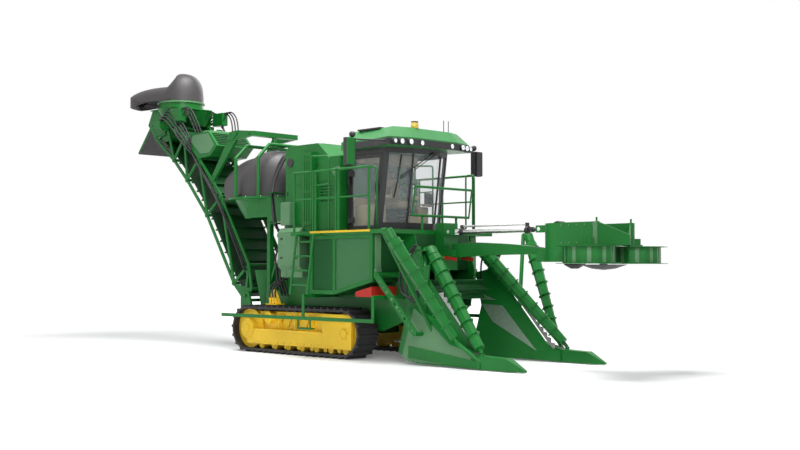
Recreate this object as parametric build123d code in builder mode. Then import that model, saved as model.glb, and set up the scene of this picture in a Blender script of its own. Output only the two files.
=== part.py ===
from build123d import *
import math
import os

# Sugarcane harvester on tracks, parked with its crop dividers on the ground.
# Millimetres. +X forwards, +Y to the driver's left, +Z up, origin on the ground
# under the middle of the whole machine. Right is the -Y side.

os.makedirs("parts", exist_ok=True)

# Clearances and stock shared by every piece
running_gap = 0.5
seat_gap = 0.3
swing_gap = 8.0
overrun = 60.0
sheet = 6.0
plate = 20.0
rail_radius = 21.0
rung_radius = 14.0
pin_radius = 30.0

# Tracks and their frames
track_mid_x = -40.0
track_length = 3520.0
track_height = 860.0
track_gauge = 1880.0
shoe_width = 457.0
belt_thickness = 40.0
grouser_height = 32.0
shoe_count = 46
grouser_root_share = 0.30
grouser_tip_share = 0.18
track_frame_width = 360.0
roller_radius = 66.0
roller_count = 7
roller_width = 260.0
drum_radius = 185.0
small_drum_radius = 105.0
idler_width = 200.0
web_slots = 4
web_slot_pitch = 240.0
web_slot_depth = 45.0
small_drum_share = 3.3

# Main frame
side_gap = 640.0
side_plate = 25.0
frame_rear_x = -1390.0
frame_front_x = 2640.0
frame_low_z = 480.0
deck_under_z = 2092.0
tower_top_z = 2500.0
tower_front_x = -760.0
cross_beam_height = 240.0
cross_beam_length = 300.0
cross_beam_z = 360.0
cross_beam_places = (-660.0, 560.0)
bulkhead_x = 2490.0
bulkhead_low_z = 1500.0
tower_sill_z = 1120.0
tower_post = 90.0
tower_inset = 10.0
tie_down_radius = 30.0
tie_down_rear_x = -1250.0
tie_down_rear_z = 1000.0
tie_down_front_x = 1960.0
tie_down_front_z = 1000.0

# Deck, side tanks, panels and guards
deck_thickness = 70.0
deck_half_width = 1300.0
deck_rear_half_width = 1000.0
deck_step_x = 90.0
deck_rear_x = -660.0
deck_front_x = 2500.0
stripe_height = 34.0
stripe_rear_x = 615.0
stripe_front_x = 2110.0
side_tank_rear_x = 580.0
side_tank_front_x = 2140.0
side_tank_low_z = 1090.0
side_tank_rise = 220.0
side_tank_outer_y = 1235.0
panel_thickness = 40.0
panel_frame_bar = 70.0
panel_split_share = 0.40
grille_recess = 22.0
grille_slot = 26.0
grille_pitch = 60.0
supply_box_rear_x = 1690.0
supply_box_front_x = 2080.0
supply_box_low_z = 1060.0
supply_box_top_z = 1230.0
supply_box_slope = 92.0
valve_box_rear_x = -510.0
valve_box_outer_y = 1100.0
valve_box_low_z = 1500.0
valve_box_top_z = 2250.0
valve_box_chamfer = 70.0
valve_base_low_z = 1370.0
valve_base_inset = 70.0
guard_bar_y = 1450.0
guard_bar_z = 680.0
guard_bar_rear_x = -1710.0
guard_bar_front_x = 2360.0
guard_bar_height = 60.0
guard_bar_width = 30.0

# Engine and its housing
housing_rear_x = -540.0
housing_front_x = 940.0
housing_half_width = 900.0
housing_top_z = 3740.0
housing_low_top_z = 3480.0
housing_step_share = 0.60
housing_slope_share = 0.81
housing_shoulder = 110.0
vent_rear_x = 424.0
vent_front_x = 744.0
vent_low_z = 2700.0
vent_pitch = 50.0
vent_slot = 24.0
vent_depth = 30.0
vent_count = 6
cooler_column_length = 250.0
cooler_column_share = 0.40
cooler_column_depth = 110.0
cooler_column_top_z = 3580.0

# Cab
cab_rear_x = 980.0
cab_front_x = 1740.0
cab_front_lean = 190.0
cab_bow = 230.0
cab_bow_half_width = 330.0
cab_half_width = 760.0
cab_top_z = 3560.0
cab_wall = 40.0
cab_sill = 140.0
cab_header = 90.0
cab_pillar = 60.0
cab_floor = 25.0
glass_thickness = 6.0
glass_inset = 14.0
roof_rear_x = 920.0
roof_front_x = 2370.0
roof_half_width = 1000.0
roof_height = 330.0
roof_edge_height = 140.0
roof_crown_inset = 170.0
visor_depth = 28.0
visor_height = 105.0
visor_rear_x = 1250.0
lamp_radius = 52.0
lamp_length = 70.0
lamp_places = (-800.0, -640.0, 640.0, 800.0)
beacon_radius = 60.0
beacon_height = 120.0
beacon_x = 2150.0
beacon_y = -300.0
antenna_radius = 7.0
antenna_top_z = 4110.0
antenna_x = 2060.0
antenna_places = (520.0, 640.0)
door_angle_limit = 38.0
door_hinge_offset = 120.0
seat_width = 520.0
seat_length = 500.0
seat_height = 450.0
seat_back_height = 620.0
seat_thickness = 120.0
seat_x = 1260.0
console_length = 160.0
console_width = 260.0
console_height = 780.0
console_x = 1640.0
mirror_width = 200.0
mirror_height = 450.0
mirror_depth = 80.0
mirror_x = 1940.0
mirror_y = 1560.0
mirror_z = 3200.0
mirror_arm_radius = 14.0
mirror_root_share = 0.12
mirror_reach_share = 0.96

# Extractor at the rear of the frame, whose centre line is also the elevator's slew axis
extractor_x = -2010.0
extractor_radius = 760.0
chamber_wall = 15.0
chamber_low_radius = 560.0
hood_base_z = 2860.0
hood_height = 940.0
hood_reach = 1010.0
hood_spout_half_width = 560.0
spout_skirt_share = 0.2
hood_wall = 12.0
fan_radius = 670.0
fan_blades = 4
fan_blade_width = 210.0
fan_blade_thickness = 16.0
fan_blade_tilt = 28.0
fan_hub_radius = 150.0
fan_hub_height = 160.0

fan_bar = 70.0
fan_boss_drop = 110.0
hood_ring_height = 40.0
hoop_radius = 33.0
hoop_clearance = 70.0
hoop_shoulder = 260.0
hoop_places = (-160.0, 420.0)

# Slewing elevator
slew_pin_radius = 60.0
slew_arm_low_z = 540.0
slew_arm_top_z = 640.0
slew_arm_half_width = 300.0
turntable_thickness = 50.0
turntable_half_width = 500.0
turntable_front_reach = 200.0
turntable_rear_reach = 400.0
bowl_radius = 480.0
bowl_top_z = 1500.0
elevator_half_width = 460.0
elevator_bar = 60.0
elevator_side = 30.0
elevator_pivot_x = -2260.0
elevator_pivot_z = 1000.0
elevator_foot_x = -2330.0
elevator_foot_z = 910.0
elevator_reach = 3230.0
elevator_rise = 3440.0
elevator_depth = 600.0
chain_slat_height = 60.0
chain_slat_pitch = 260.0
chain_band = 16.0
hinge_pin_radius = 10.0
hinge_length = 90.0
secondary_x = -5260.0
secondary_base_z = 4980.0
secondary_ring_z = 5140.0
secondary_radius = 485.0
secondary_hood_height = 640.0
secondary_hood_reach = 1120.0
secondary_spout_half_width = 330.0
secondary_hood_turn = 30.0
secondary_fan_radius = 450.0
flap_hinge_x = -5760.0
flap_hinge_z = 4660.0
flap_tip_x = -6290.0
flap_tip_z = 4070.0
arch_half_width = 560.0
arch_bar = 95.0
arch_top_z = 4200.0
arch_bend_x = -2560.0
arch_bend_z = 4250.0
arch_foot_x = -3320.0
arch_foot_z = 3330.0
cover_rear_x = -4340.0
cover_front_x = -3280.0
cover_low_z = 3830.0
cover_top_z = 4340.0

# Topper
topper_pivot_x = 2830.0
topper_pivot_z = 1780.0
topper_link_x = 2790.0
topper_link_z = 2130.0
topper_arm = 1880.0
topper_beam_root = 236.0
topper_beam_tip = 90.0
topper_beam_rise = 22.0
topper_beam_width = 130.0
topper_mast_half_width = 170.0
topper_cylinder_radius = 40.0
topper_cylinder_share = 0.82
topper_rod_radius = 24.0
topper_pipe_radius = 16.0
topper_pipe_rise = 88.0
topper_clamp_radius = 52.0
shroud_x = 5220.0
shroud_radius = 440.0
shroud_wall = 18.0
shroud_low_z = 1625.0
shroud_split_z = 1862.0
shroud_top_z = 2200.0
shroud_skirt_reach = 120.0
hull_side_x = 5930.0
hull_tip_x = 6200.0
hull_tip_z = 2010.0
hull_post_radius = 42.0
hull_lug_rise = 60.0
cone_radius = 180.0
cone_tip_radius = 50.0
cone_height = 100.0
topper_drum_x = 5905.0
topper_drum_y = 600.0
topper_drum_radius = 370.0
topper_drum_sides = 10
topper_flange_radius = 470.0
topper_flange = 8.0
topper_drum_low_z = 1600.0
topper_drum_top_z = 1840.0
drum_motor_radius = 75.0
drum_motor_height = 110.0
topper_disc_x = 5740.0
topper_disc_radius = 350.0
topper_disc_low_z = 1500.0
topper_disc_height = 80.0

# Crop dividers
divider_pivot_x = 2200.0
divider_pivot_z = 1420.0
divider_tip_x = 5077.0
divider_arm_y = 1245.0
divider_arm_width = 30.0
divider_arm_depth = 110.0
divider_arm_foot_x = 3080.0
divider_arm_foot_z = 500.0
divider_arm_hole = 22.0
divider_carrier_radius = 34.0
scroll_motor_radius = 76.0
scroll_motor_length = 190.0
motor_elbow = 110.0
divider_heel_x = 2600.0
divider_y = 1000.0
divider_width = 180.0
divider_sheet = 14.0
divider_low_z = 14.0
divider_top_z = 914.0
divider_slope_x = 4283.0
divider_slope_z = 216.0
divider_nose_x = 4764.0
divider_nose_z = 199.0
divider_nose_width = 150.0
divider_tip_width = 50.0
divider_tip_height = 28.0
divider_wing_top_z = 1585.0
divider_wing_x = 3079.0
skid_height = 190.0
skid_thickness = 16.0
inner_scroll_low = (4230.0, 1040.0, 320.0)
inner_scroll_top = (2953.0, 680.0, 1700.0)
outer_scroll_low = (3900.0, 1240.0, 470.0)
outer_scroll_top = (3049.0, 1690.0, 1960.0)
inner_scroll_low_radius = 82.0
inner_scroll_top_radius = 122.0
outer_scroll_low_radius = 70.0
outer_scroll_top_radius = 104.0
scroll_band = 26.0
scroll_band_thickness = 18.0
scroll_band_tilt = 14.0
scroll_bands = 7
scroll_sides = 8
scroll_end_share = 0.94

# Throat: rollers and base cutters between the frame's side plates
knockdown_x = 2800.0
knockdown_z = 1180.0
feed_roller_x = 2420.0
feed_roller_z = 900.0
roller_core_radius = 110.0
roller_fin_height = 70.0
roller_fin_width = 18.0
roller_fins = 6
base_cutter_x = 2090.0
base_cutter_z = 300.0
base_cutter_radius = 295.0
base_cutter_spacing = 610.0
cutter_leg_radius = 110.0
cutter_disc_thickness = 20.0
cutter_box_z = 620.0
cutter_box_height = 150.0
cutter_box_length = 280.0

# Ladders and handrails
ladder_y = 1440.0
ladder_top_z = 2100.0
ladder_low_z = 1120.0
ladder_top_x = 420.0
ladder_low_x = 260.0
ladder_width = 450.0
ladder_rungs = 4
rail_y = 1280.0
rail_top_z = 3190.0
rail_mid_z = 2720.0
rail_places = (120.0, 690.0, 1280.0, 2090.0)
front_rail_x = 2480.0
front_rail_lean = 70.0
front_rail_half_width = 700.0
front_rail_foot_y = 420.0
front_rail_low_z = 2400.0
front_rail_top_z = 2870.0


def block(x_low, x_high, y_low, y_high, z_low, z_high, mode=Mode.ADD):
    """Box between two corners."""
    with Locations(((x_low + x_high) / 2, (y_low + y_high) / 2, (z_low + z_high) / 2)):
        Box(x_high - x_low, y_high - y_low, z_high - z_low, mode=mode)


def profile(points, plane, thickness, mode=Mode.ADD):
    """Closed outline on a plane, extruded along its normal."""
    with BuildSketch(plane) as face:
        with BuildLine():
            Polyline(*points, close=True)
        make_face()
    extrude(face.sketch, amount=thickness, mode=mode)


def side_profile(points, y_low, y_high, mode=Mode.ADD):
    """Outline of X and Z, filled between two values of Y."""
    plane = Plane(origin=(0, y_high, 0), x_dir=(1, 0, 0), z_dir=(0, -1, 0))
    profile(points, plane, y_high - y_low, mode)


def plan_profile(points, z_low, z_high, mode=Mode.ADD):
    """Outline of X and Y, filled between two heights."""
    profile(points, Plane.XY.offset(z_low), z_high - z_low, mode)


def front_profile(points, x_low, x_high, mode=Mode.ADD):
    """Outline of Y and Z, filled between two values of X."""
    profile(points, Plane(origin=(x_low, 0, 0), x_dir=(0, 1, 0), z_dir=(1, 0, 0)), x_high - x_low, mode)


def rod(start, end, radius, mode=Mode.ADD):
    """Round bar from one point to another."""
    run = Vector(*end) - Vector(*start)
    with BuildSketch(Plane(origin=start, z_dir=run)) as section:
        Circle(radius)
    extrude(section.sketch, amount=run.length, mode=mode)


def pipe(points, radius):
    """Bent tube through points, mitred at its corners."""
    with BuildLine() as route:
        Polyline(*points)
    with BuildSketch(Plane(origin=points[0], z_dir=route.line % 0)) as section:
        Circle(radius)
    sweep(section.sketch, path=route.line, transition=Transition.RIGHT)


def side_bar(start, end, depth, y_low, y_high, mode=Mode.ADD):
    """Flat bar seen from the side, between two points of X and Z."""
    along = Vector(end[0] - start[0], end[1] - start[1])
    across = Vector(-along.Y, along.X).normalized() * (depth / 2)
    points = [
        (start[0] + across.X, start[1] + across.Y),
        (end[0] + across.X, end[1] + across.Y),
        (end[0] - across.X, end[1] - across.Y),
        (start[0] - across.X, start[1] - across.Y),
    ]
    side_profile(points, y_low, y_high, mode)


def spread(shares, x_low, x_size, z_low, z_size):
    """Turn an outline of shares into lengths."""
    return [(x_low + x_size * across, z_low + z_size * up) for across, up in shares]


def turned(points, centre_x, mode=Mode.ADD):
    """Outline of radius and height, revolved about an upright axis on the middle plane."""
    with BuildSketch(Plane(origin=(centre_x, 0, 0), x_dir=(1, 0, 0), z_dir=(0, -1, 0))) as face:
        with BuildLine():
            Polyline(*points, close=True)
        make_face()
    revolve(face.sketch, axis=Axis((centre_x, 0, 0), (0, 0, 1)), mode=mode)


def finish(built, name):
    """Label a finished piece and write it."""
    built.part.label = name
    export_step(built.part, "parts/" + name + ".step")


# Tracks: each belt is one loop whose shoes stand out as grousers
track_y = track_gauge / 2
belt_radius = track_height / 2 - grouser_height
belt_inner_radius = belt_radius - belt_thickness
wheel_span = track_length - track_height
idler_x = track_mid_x + wheel_span / 2
sprocket_x = track_mid_x - wheel_span / 2
wheel_z = track_height / 2
loop_length = 2 * (wheel_span + math.pi * belt_radius)
shoe_pitch = loop_length / shoe_count


def loop_point(travel, radius):
    """Point at a distance along the belt, measured from the top of the rear wheel."""
    travel = travel % loop_length
    half_turn = math.pi * belt_radius
    if travel < wheel_span:
        return (sprocket_x + travel, wheel_z + radius)
    if travel < wheel_span + half_turn:
        angle = math.pi / 2 - (travel - wheel_span) / belt_radius
        return (idler_x + radius * math.cos(angle), wheel_z + radius * math.sin(angle))
    if travel < 2 * wheel_span + half_turn:
        return (idler_x - (travel - wheel_span - half_turn), wheel_z - radius)
    angle = -math.pi / 2 - (travel - 2 * wheel_span - half_turn) / belt_radius
    return (sprocket_x + radius * math.cos(angle), wheel_z + radius * math.sin(angle))


shoe_outline = []
for shoe in range(shoe_count):
    middle = (shoe + 0.5) * shoe_pitch
    root = grouser_root_share * shoe_pitch / 2
    tip = grouser_tip_share * shoe_pitch / 2
    shoe_outline.append(loop_point(middle - root, belt_radius))
    shoe_outline.append(loop_point(middle - tip, belt_radius + grouser_height))
    shoe_outline.append(loop_point(middle + tip, belt_radius + grouser_height))
    shoe_outline.append(loop_point(middle + root, belt_radius))

for side, name in ((-1, "track_right"), (1, "track_left")):
    with BuildPart() as track:
        side_profile(shoe_outline, side * track_y - shoe_width / 2, side * track_y + shoe_width / 2)
        with BuildSketch(Plane(origin=(track_mid_x, side * track_y, wheel_z), x_dir=(1, 0, 0), z_dir=(0, -1, 0))):
            SlotCenterToCenter(wheel_span, 2 * belt_inner_radius)
        extrude(amount=shoe_width, both=True, mode=Mode.SUBTRACT)
    finish(track, name)

# Yellow track frames: a beam, a deep front block forked round the idler, two drive drums and the rollers
beam_low_z = wheel_z - belt_inner_radius + roller_radius + plate
beam_top_z = wheel_z + belt_inner_radius - 2 * plate
frame_inner_y = track_y - track_frame_width / 2
frame_outer_y = track_y + track_frame_width / 2
front_block_rear_x = idler_x - 560.0
front_block_front_x = idler_x + belt_inner_radius / 2
web_outer_y = track_y + track_frame_width / 6
roller_pitch = (front_block_front_x - sprocket_x - drum_radius) / roller_count

with BuildPart() as track_frames:
    block(sprocket_x, front_block_front_x, -frame_outer_y, -frame_inner_y, beam_low_z, wheel_z)
    block(sprocket_x, front_block_front_x, -web_outer_y, -frame_inner_y, wheel_z - plate, beam_top_z)
    block(front_block_rear_x, front_block_front_x, -frame_outer_y, -frame_inner_y, beam_low_z, beam_top_z)
    with BuildSketch(Plane(origin=(track_mid_x, -track_y, wheel_z), x_dir=(1, 0, 0), z_dir=(0, -1, 0))):
        SlotCenterToCenter(wheel_span, 2 * (belt_inner_radius - swing_gap))
    extrude(amount=track_frame_width, both=True, mode=Mode.INTERSECT)
    rod((sprocket_x, -frame_outer_y - plate / 2, wheel_z), (sprocket_x, -frame_inner_y, wheel_z), drum_radius)
    small_drum_x = sprocket_x + small_drum_share * drum_radius
    small_drum_z = beam_top_z - small_drum_radius
    rod((small_drum_x, -frame_outer_y, small_drum_z), (small_drum_x, -track_y, small_drum_z), small_drum_radius)
    for place in range(roller_count):
        roller_x = sprocket_x + drum_radius + (place + 0.5) * roller_pitch
        roller_z = wheel_z - belt_inner_radius + seat_gap + roller_radius
        rod((roller_x, -track_y - roller_width / 2, roller_z),
            (roller_x, -track_y + roller_width / 2, roller_z), roller_radius)
    slot_half = idler_width / 2 + seat_gap
    block(idler_x - belt_inner_radius - swing_gap, idler_x + belt_inner_radius,
          -track_y - slot_half, -track_y + slot_half, -overrun, track_height, mode=Mode.SUBTRACT)
    slot_half = idler_width / 2 + seat_gap
    with BuildSketch(Plane(origin=(sprocket_x, -track_y, wheel_z), x_dir=(1, 0, 0), z_dir=(0, -1, 0))):
        Circle(belt_inner_radius + swing_gap)
        Circle(drum_radius, mode=Mode.SUBTRACT)
    extrude(amount=slot_half, both=True, mode=Mode.SUBTRACT)
    for place in range(web_slots):
        slot_x = small_drum_x + 2 * small_drum_radius + place * web_slot_pitch
        side_bar((slot_x, wheel_z + 2 * plate), (slot_x + web_slot_pitch / 2, beam_top_z - 2 * plate),
                 web_slot_depth, -web_outer_y - overrun, -web_outer_y + web_slot_depth, mode=Mode.SUBTRACT)
    mirror(about=Plane.XZ)
finish(track_frames, "track_frames")

with BuildPart() as track_wheels:
    for wheel_x, bore in ((idler_x, pin_radius), (sprocket_x, drum_radius + seat_gap)):
        with BuildSketch(Plane(origin=(wheel_x, -track_y, wheel_z), x_dir=(1, 0, 0), z_dir=(0, -1, 0))):
            Circle(belt_inner_radius - seat_gap)
            Circle(bore, mode=Mode.SUBTRACT)
        extrude(amount=idler_width / 2, both=True)
    mirror(about=Plane.XZ)
finish(track_wheels, "track_wheels")

# Main frame: side plates, cross members between them, and the tower that carries the extractor
frame_length = frame_front_x - frame_rear_x
frame_rise = deck_under_z - frame_low_z
tower_share = (tower_front_x - frame_rear_x) / frame_length
sill_share = (tower_sill_z - frame_low_z) / frame_rise
frame_shares = [
    (0.0, 0.05), (0.78, 0.0), (0.89, 0.09), (0.98, 0.26), (1.0, 0.63), (0.965, 1.0),
    (tower_share, 1.0), (tower_share, sill_share), (0.0, sill_share),
]
side_outer_y = side_gap + side_plate

with BuildPart() as side_plates:
    side_profile(spread(frame_shares, frame_rear_x, frame_length, frame_low_z, frame_rise),
                 -side_outer_y, -side_gap)
    side_bar((bulkhead_x, feed_roller_z + 2 * roller_core_radius), (knockdown_x, knockdown_z),
             4 * pin_radius, -side_outer_y, -side_gap)
    for pivot_end, pivot_radius in ((divider_arm_y - divider_arm_width / 2 - running_gap, 1.5 * pin_radius),
                                    (divider_arm_y + divider_arm_width / 2 + sheet, pin_radius)):
        rod((divider_pivot_x, -side_gap, divider_pivot_z), (divider_pivot_x, -pivot_end, divider_pivot_z),
            pivot_radius)
    for hole_x, hole_z in ((tie_down_rear_x, tie_down_rear_z), (tie_down_front_x, tie_down_front_z)):
        rod((hole_x, -side_outer_y - plate, hole_z), (hole_x, 0, hole_z), tie_down_radius, mode=Mode.SUBTRACT)
    for roller_x, roller_z in ((feed_roller_x, feed_roller_z), (knockdown_x, knockdown_z)):
        rod((roller_x, -side_outer_y - overrun, roller_z), (roller_x, 0, roller_z),
            pin_radius + running_gap, mode=Mode.SUBTRACT)
    mirror(about=Plane.XZ)
finish(side_plates, "side_plates")

between_y = side_gap - seat_gap
floor_z = frame_low_z + cross_beam_height
with BuildPart() as main_frame:
    block(cross_beam_places[0], base_cutter_x - base_cutter_radius, -between_y, between_y, floor_z - plate, floor_z)
    for beam_x in cross_beam_places:
        low_x = beam_x - cross_beam_length / 2
        block(low_x, low_x + cross_beam_length, -frame_inner_y + seat_gap, frame_inner_y - seat_gap,
              cross_beam_z, frame_low_z - seat_gap)
        block(low_x, low_x + cross_beam_length, -between_y, between_y, cross_beam_z, floor_z)
    block(base_cutter_x - cutter_box_length / 2, base_cutter_x + cutter_box_length / 2, -between_y, between_y,
          cutter_box_z, cutter_box_z + cutter_box_height)
    block(base_cutter_x - base_cutter_radius - plate, base_cutter_x, -cutter_leg_radius, cutter_leg_radius,
          floor_z - plate, floor_z)
    for side in (-1, 1):
        rod((base_cutter_x, side * base_cutter_spacing / 2, cutter_box_z - overrun),
            (base_cutter_x, side * base_cutter_spacing / 2, cutter_box_z + cutter_box_height / 2),
            pin_radius + running_gap, mode=Mode.SUBTRACT)
    block(bulkhead_x, bulkhead_x + plate, -between_y, between_y, bulkhead_low_z, deck_under_z)
    block(tower_front_x, bulkhead_x, -between_y, between_y, deck_under_z - plate, deck_under_z)
finish(main_frame, "main_frame")

# Tower behind the side plates: four posts, their beams and braces, and the arm that the elevator slews on
post_inner_y = side_outer_y - tower_post
rear_post_x = frame_rear_x + tower_inset
front_post_x = tower_front_x - tower_post - tower_inset
with BuildPart() as extractor_tower:
    for post_x, foot_z in ((rear_post_x, slew_arm_low_z), (front_post_x, floor_z + seat_gap)):
        block(post_x, post_x + tower_post, -side_outer_y, -post_inner_y, tower_sill_z + seat_gap, tower_top_z)
        block(post_x, post_x + tower_post, -between_y, -post_inner_y, foot_z, tower_top_z)
    block(rear_post_x, front_post_x, -side_outer_y, -post_inner_y, tower_top_z - tower_post, tower_top_z)
    side_bar((rear_post_x + tower_post / 2, tower_sill_z + tower_post), (front_post_x + tower_post / 2,
             tower_top_z - tower_post), tower_post / 2, -between_y, -post_inner_y - tower_inset)
    mirror(about=Plane.XZ)
    for post_x in (rear_post_x, front_post_x):
        block(post_x, post_x + tower_post, -post_inner_y, post_inner_y, tower_top_z - tower_post, tower_top_z)
    block(rear_post_x, rear_post_x + plate, -post_inner_y, post_inner_y, slew_arm_low_z, tower_sill_z)
    block(rear_post_x, front_post_x + tower_post, -post_inner_y, post_inner_y, floor_z + seat_gap,
          floor_z + seat_gap + plate)
    plan_profile([(rear_post_x, -slew_arm_half_width), (rear_post_x, slew_arm_half_width),
                  (extractor_x, slew_arm_half_width / 2), (extractor_x, -slew_arm_half_width / 2)],
                 slew_arm_low_z, slew_arm_top_z)
    rod((extractor_x, 0, slew_arm_low_z), (extractor_x, 0, slew_arm_top_z), slew_arm_half_width / 2)
    rod((extractor_x, 0, slew_arm_top_z),
        (extractor_x, 0, slew_arm_top_z + turntable_thickness + 2 * pin_radius), slew_pin_radius)
finish(extractor_tower, "extractor_tower")

# Feed train and choppers as one closed block with a sloping outlet into the tower
with BuildPart() as feed_train_block:
    train_x = tower_front_x + cross_beam_length
    train_top_z = deck_under_z - plate - seat_gap
    block(train_x, base_cutter_x - 2 * base_cutter_radius, -side_gap + seat_gap, side_gap - seat_gap,
          floor_z + seat_gap, train_top_z)
    side_profile([(train_x, bulkhead_low_z), (train_x, train_top_z), (front_post_x, train_top_z),
                  (front_post_x - tower_post, train_top_z - cross_beam_length)],
                 -post_inner_y + swing_gap, post_inner_y - swing_gap)
finish(feed_train_block, "feed_train_block")

# Deck and its yellow edge stripes
deck_z = deck_under_z + seat_gap
deck_top_z = deck_z + deck_thickness
with BuildPart() as platform:
    plan_profile([
        (deck_rear_x, -deck_rear_half_width), (deck_step_x, -deck_rear_half_width),
        (deck_step_x, -deck_half_width), (deck_front_x, -deck_half_width),
        (deck_front_x, deck_half_width), (deck_step_x, deck_half_width),
        (deck_step_x, deck_rear_half_width), (deck_rear_x, deck_rear_half_width),
    ], deck_z, deck_top_z)
finish(platform, "platform")

with BuildPart() as edge_stripes:
    block(stripe_rear_x, stripe_front_x, -deck_half_width - sheet, -deck_half_width - seat_gap,
          deck_top_z - stripe_height, deck_top_z)
    mirror(about=Plane.XZ)
finish(edge_stripes, "edge_stripes")

# Side tanks behind bolted panels, and the valve boxes behind the ladders
tank_inner_y = side_outer_y + seat_gap
tank_outline = [
    (side_tank_rear_x, side_tank_low_z),
    (side_tank_rear_x + panel_split_share * (side_tank_front_x - side_tank_rear_x), side_tank_low_z),
    (side_tank_front_x, side_tank_low_z + side_tank_rise),
    (side_tank_front_x, deck_under_z),
    (side_tank_rear_x, deck_under_z),
]
with BuildPart() as side_tanks:
    side_profile(tank_outline, -side_tank_outer_y, -tank_inner_y)
    mirror(about=Plane.XZ)
finish(side_tanks, "side_tanks")

panel_inner_y = side_tank_outer_y + seat_gap
panel_split_x = side_tank_rear_x + panel_split_share * (side_tank_front_x - side_tank_rear_x)
panel_slope = side_tank_rise / (side_tank_front_x - panel_split_x)
window_rise_z = side_tank_low_z + panel_slope * (side_tank_front_x - panel_frame_bar - panel_split_x)
panel_windows = (
    [(side_tank_rear_x + panel_frame_bar, side_tank_low_z + panel_frame_bar),
     (panel_split_x - panel_frame_bar / 2, side_tank_low_z + panel_frame_bar),
     (panel_split_x - panel_frame_bar / 2, deck_under_z - panel_frame_bar),
     (side_tank_rear_x + panel_frame_bar, deck_under_z - panel_frame_bar)],
    [(panel_split_x + panel_frame_bar / 2, side_tank_low_z + panel_frame_bar),
     (side_tank_front_x - panel_frame_bar, window_rise_z + panel_frame_bar),
     (side_tank_front_x - panel_frame_bar, deck_under_z - panel_frame_bar),
     (panel_split_x + panel_frame_bar / 2, deck_under_z - panel_frame_bar)],
)
with BuildPart() as side_panels:
    side_profile(tank_outline, -panel_inner_y - panel_thickness, -panel_inner_y)
    for window in panel_windows:
        side_profile(window, -panel_inner_y - panel_thickness - overrun, -panel_inner_y - panel_thickness
                     + grille_recess, mode=Mode.SUBTRACT)
    for window in panel_windows:
        low_z = window[1][1] + grille_pitch
        count = int((window[2][1] - low_z) // grille_pitch)
        for place in range(count):
            block(window[0][0] + grille_slot, window[1][0] - grille_slot,
                  -panel_inner_y - panel_thickness + grille_recess - running_gap, -panel_inner_y + overrun,
                  low_z + place * grille_pitch, low_z + place * grille_pitch + grille_slot, mode=Mode.SUBTRACT)
    mirror(about=Plane.XZ)
finish(side_panels, "side_panels")

column_outer_y = housing_half_width + cooler_column_depth + seat_gap
with BuildPart() as valve_boxes:
    front_profile([
        (-tank_inner_y, valve_box_low_z), (-valve_box_outer_y + valve_box_chamfer, valve_box_low_z),
        (-valve_box_outer_y, valve_box_low_z + valve_box_chamfer),
        (-valve_box_outer_y, valve_box_top_z - valve_box_chamfer),
        (-column_outer_y - grille_slot, valve_box_top_z),
        (-column_outer_y, valve_box_top_z), (-column_outer_y, deck_under_z - seat_gap),
        (-tank_inner_y, deck_under_z - seat_gap),
    ], valve_box_rear_x, deck_step_x - seat_gap)
    block(valve_box_rear_x, deck_step_x - seat_gap, -valve_box_outer_y + valve_base_inset, -tank_inner_y,
          valve_base_low_z, valve_box_low_z)
    mirror(about=Plane.XZ)
finish(valve_boxes, "valve_boxes")

with BuildPart() as supply_boxes:
    side_profile([(supply_box_rear_x, supply_box_low_z), (supply_box_front_x, supply_box_low_z),
                  (supply_box_front_x, supply_box_top_z), (supply_box_rear_x, supply_box_top_z
                   - supply_box_slope)], -side_tank_outer_y, -tank_inner_y)
finish(supply_boxes, "supply_box")

# Guard bars beside the tracks, each with brackets to the side plates
bar_inner_y = guard_bar_y - guard_bar_width / 2
with BuildPart() as guard_bars:
    block(guard_bar_rear_x, guard_bar_front_x, -guard_bar_y - guard_bar_width / 2, -bar_inner_y,
          guard_bar_z - guard_bar_height / 2, guard_bar_z + guard_bar_height / 2)
    for bracket_x in (side_tank_rear_x, guard_bar_front_x - guard_bar_height):
        block(bracket_x, bracket_x + guard_bar_height, -guard_bar_y, -bar_inner_y + seat_gap,
              guard_bar_z, side_tank_low_z)
        block(bracket_x, bracket_x + guard_bar_height, -guard_bar_y, -tank_inner_y,
              side_tank_low_z - guard_bar_height, side_tank_low_z - seat_gap)
    mirror(about=Plane.XZ)
finish(guard_bars, "guard_bars")

# Engine housing, closed round the engine, with a vent panel in each side
housing_z = deck_top_z + seat_gap
housing_length = housing_front_x - housing_rear_x
step_x = housing_rear_x + housing_step_share * housing_length
slope_x = housing_rear_x + housing_slope_share * housing_length


with BuildPart() as engine_housing:
    side_profile([
        (housing_rear_x, housing_z), (housing_front_x, housing_z), (housing_front_x, housing_low_top_z),
        (slope_x, housing_low_top_z), (step_x, housing_top_z), (housing_rear_x + housing_shoulder, housing_top_z),
        (housing_rear_x, housing_top_z - housing_shoulder / 2),
    ], -housing_half_width, housing_half_width)
    for vent in range(vent_count):
        vent_z = vent_low_z + vent * vent_pitch
        for side in (-1, 1):
            block(vent_rear_x, vent_front_x, min(side * (housing_half_width - vent_depth), side * 2 * housing_half_width),
                  max(side * (housing_half_width - vent_depth), side * 2 * housing_half_width),
                  vent_z, vent_z + vent_slot, mode=Mode.SUBTRACT)
finish(engine_housing, "engine_housing")

column_x = housing_rear_x + cooler_column_share * housing_length
with BuildPart() as cooler_columns:
    block(column_x, column_x + cooler_column_length,
          -housing_half_width - cooler_column_depth, -housing_half_width - seat_gap,
          housing_z, cooler_column_top_z)
    mirror(about=Plane.XZ)
finish(cooler_columns, "cooler_columns")

# Cab: leaning shell with a bowed front, cut for its windows and its door
cab_z = deck_top_z + seat_gap
cab_height = cab_top_z - cab_z


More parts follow.
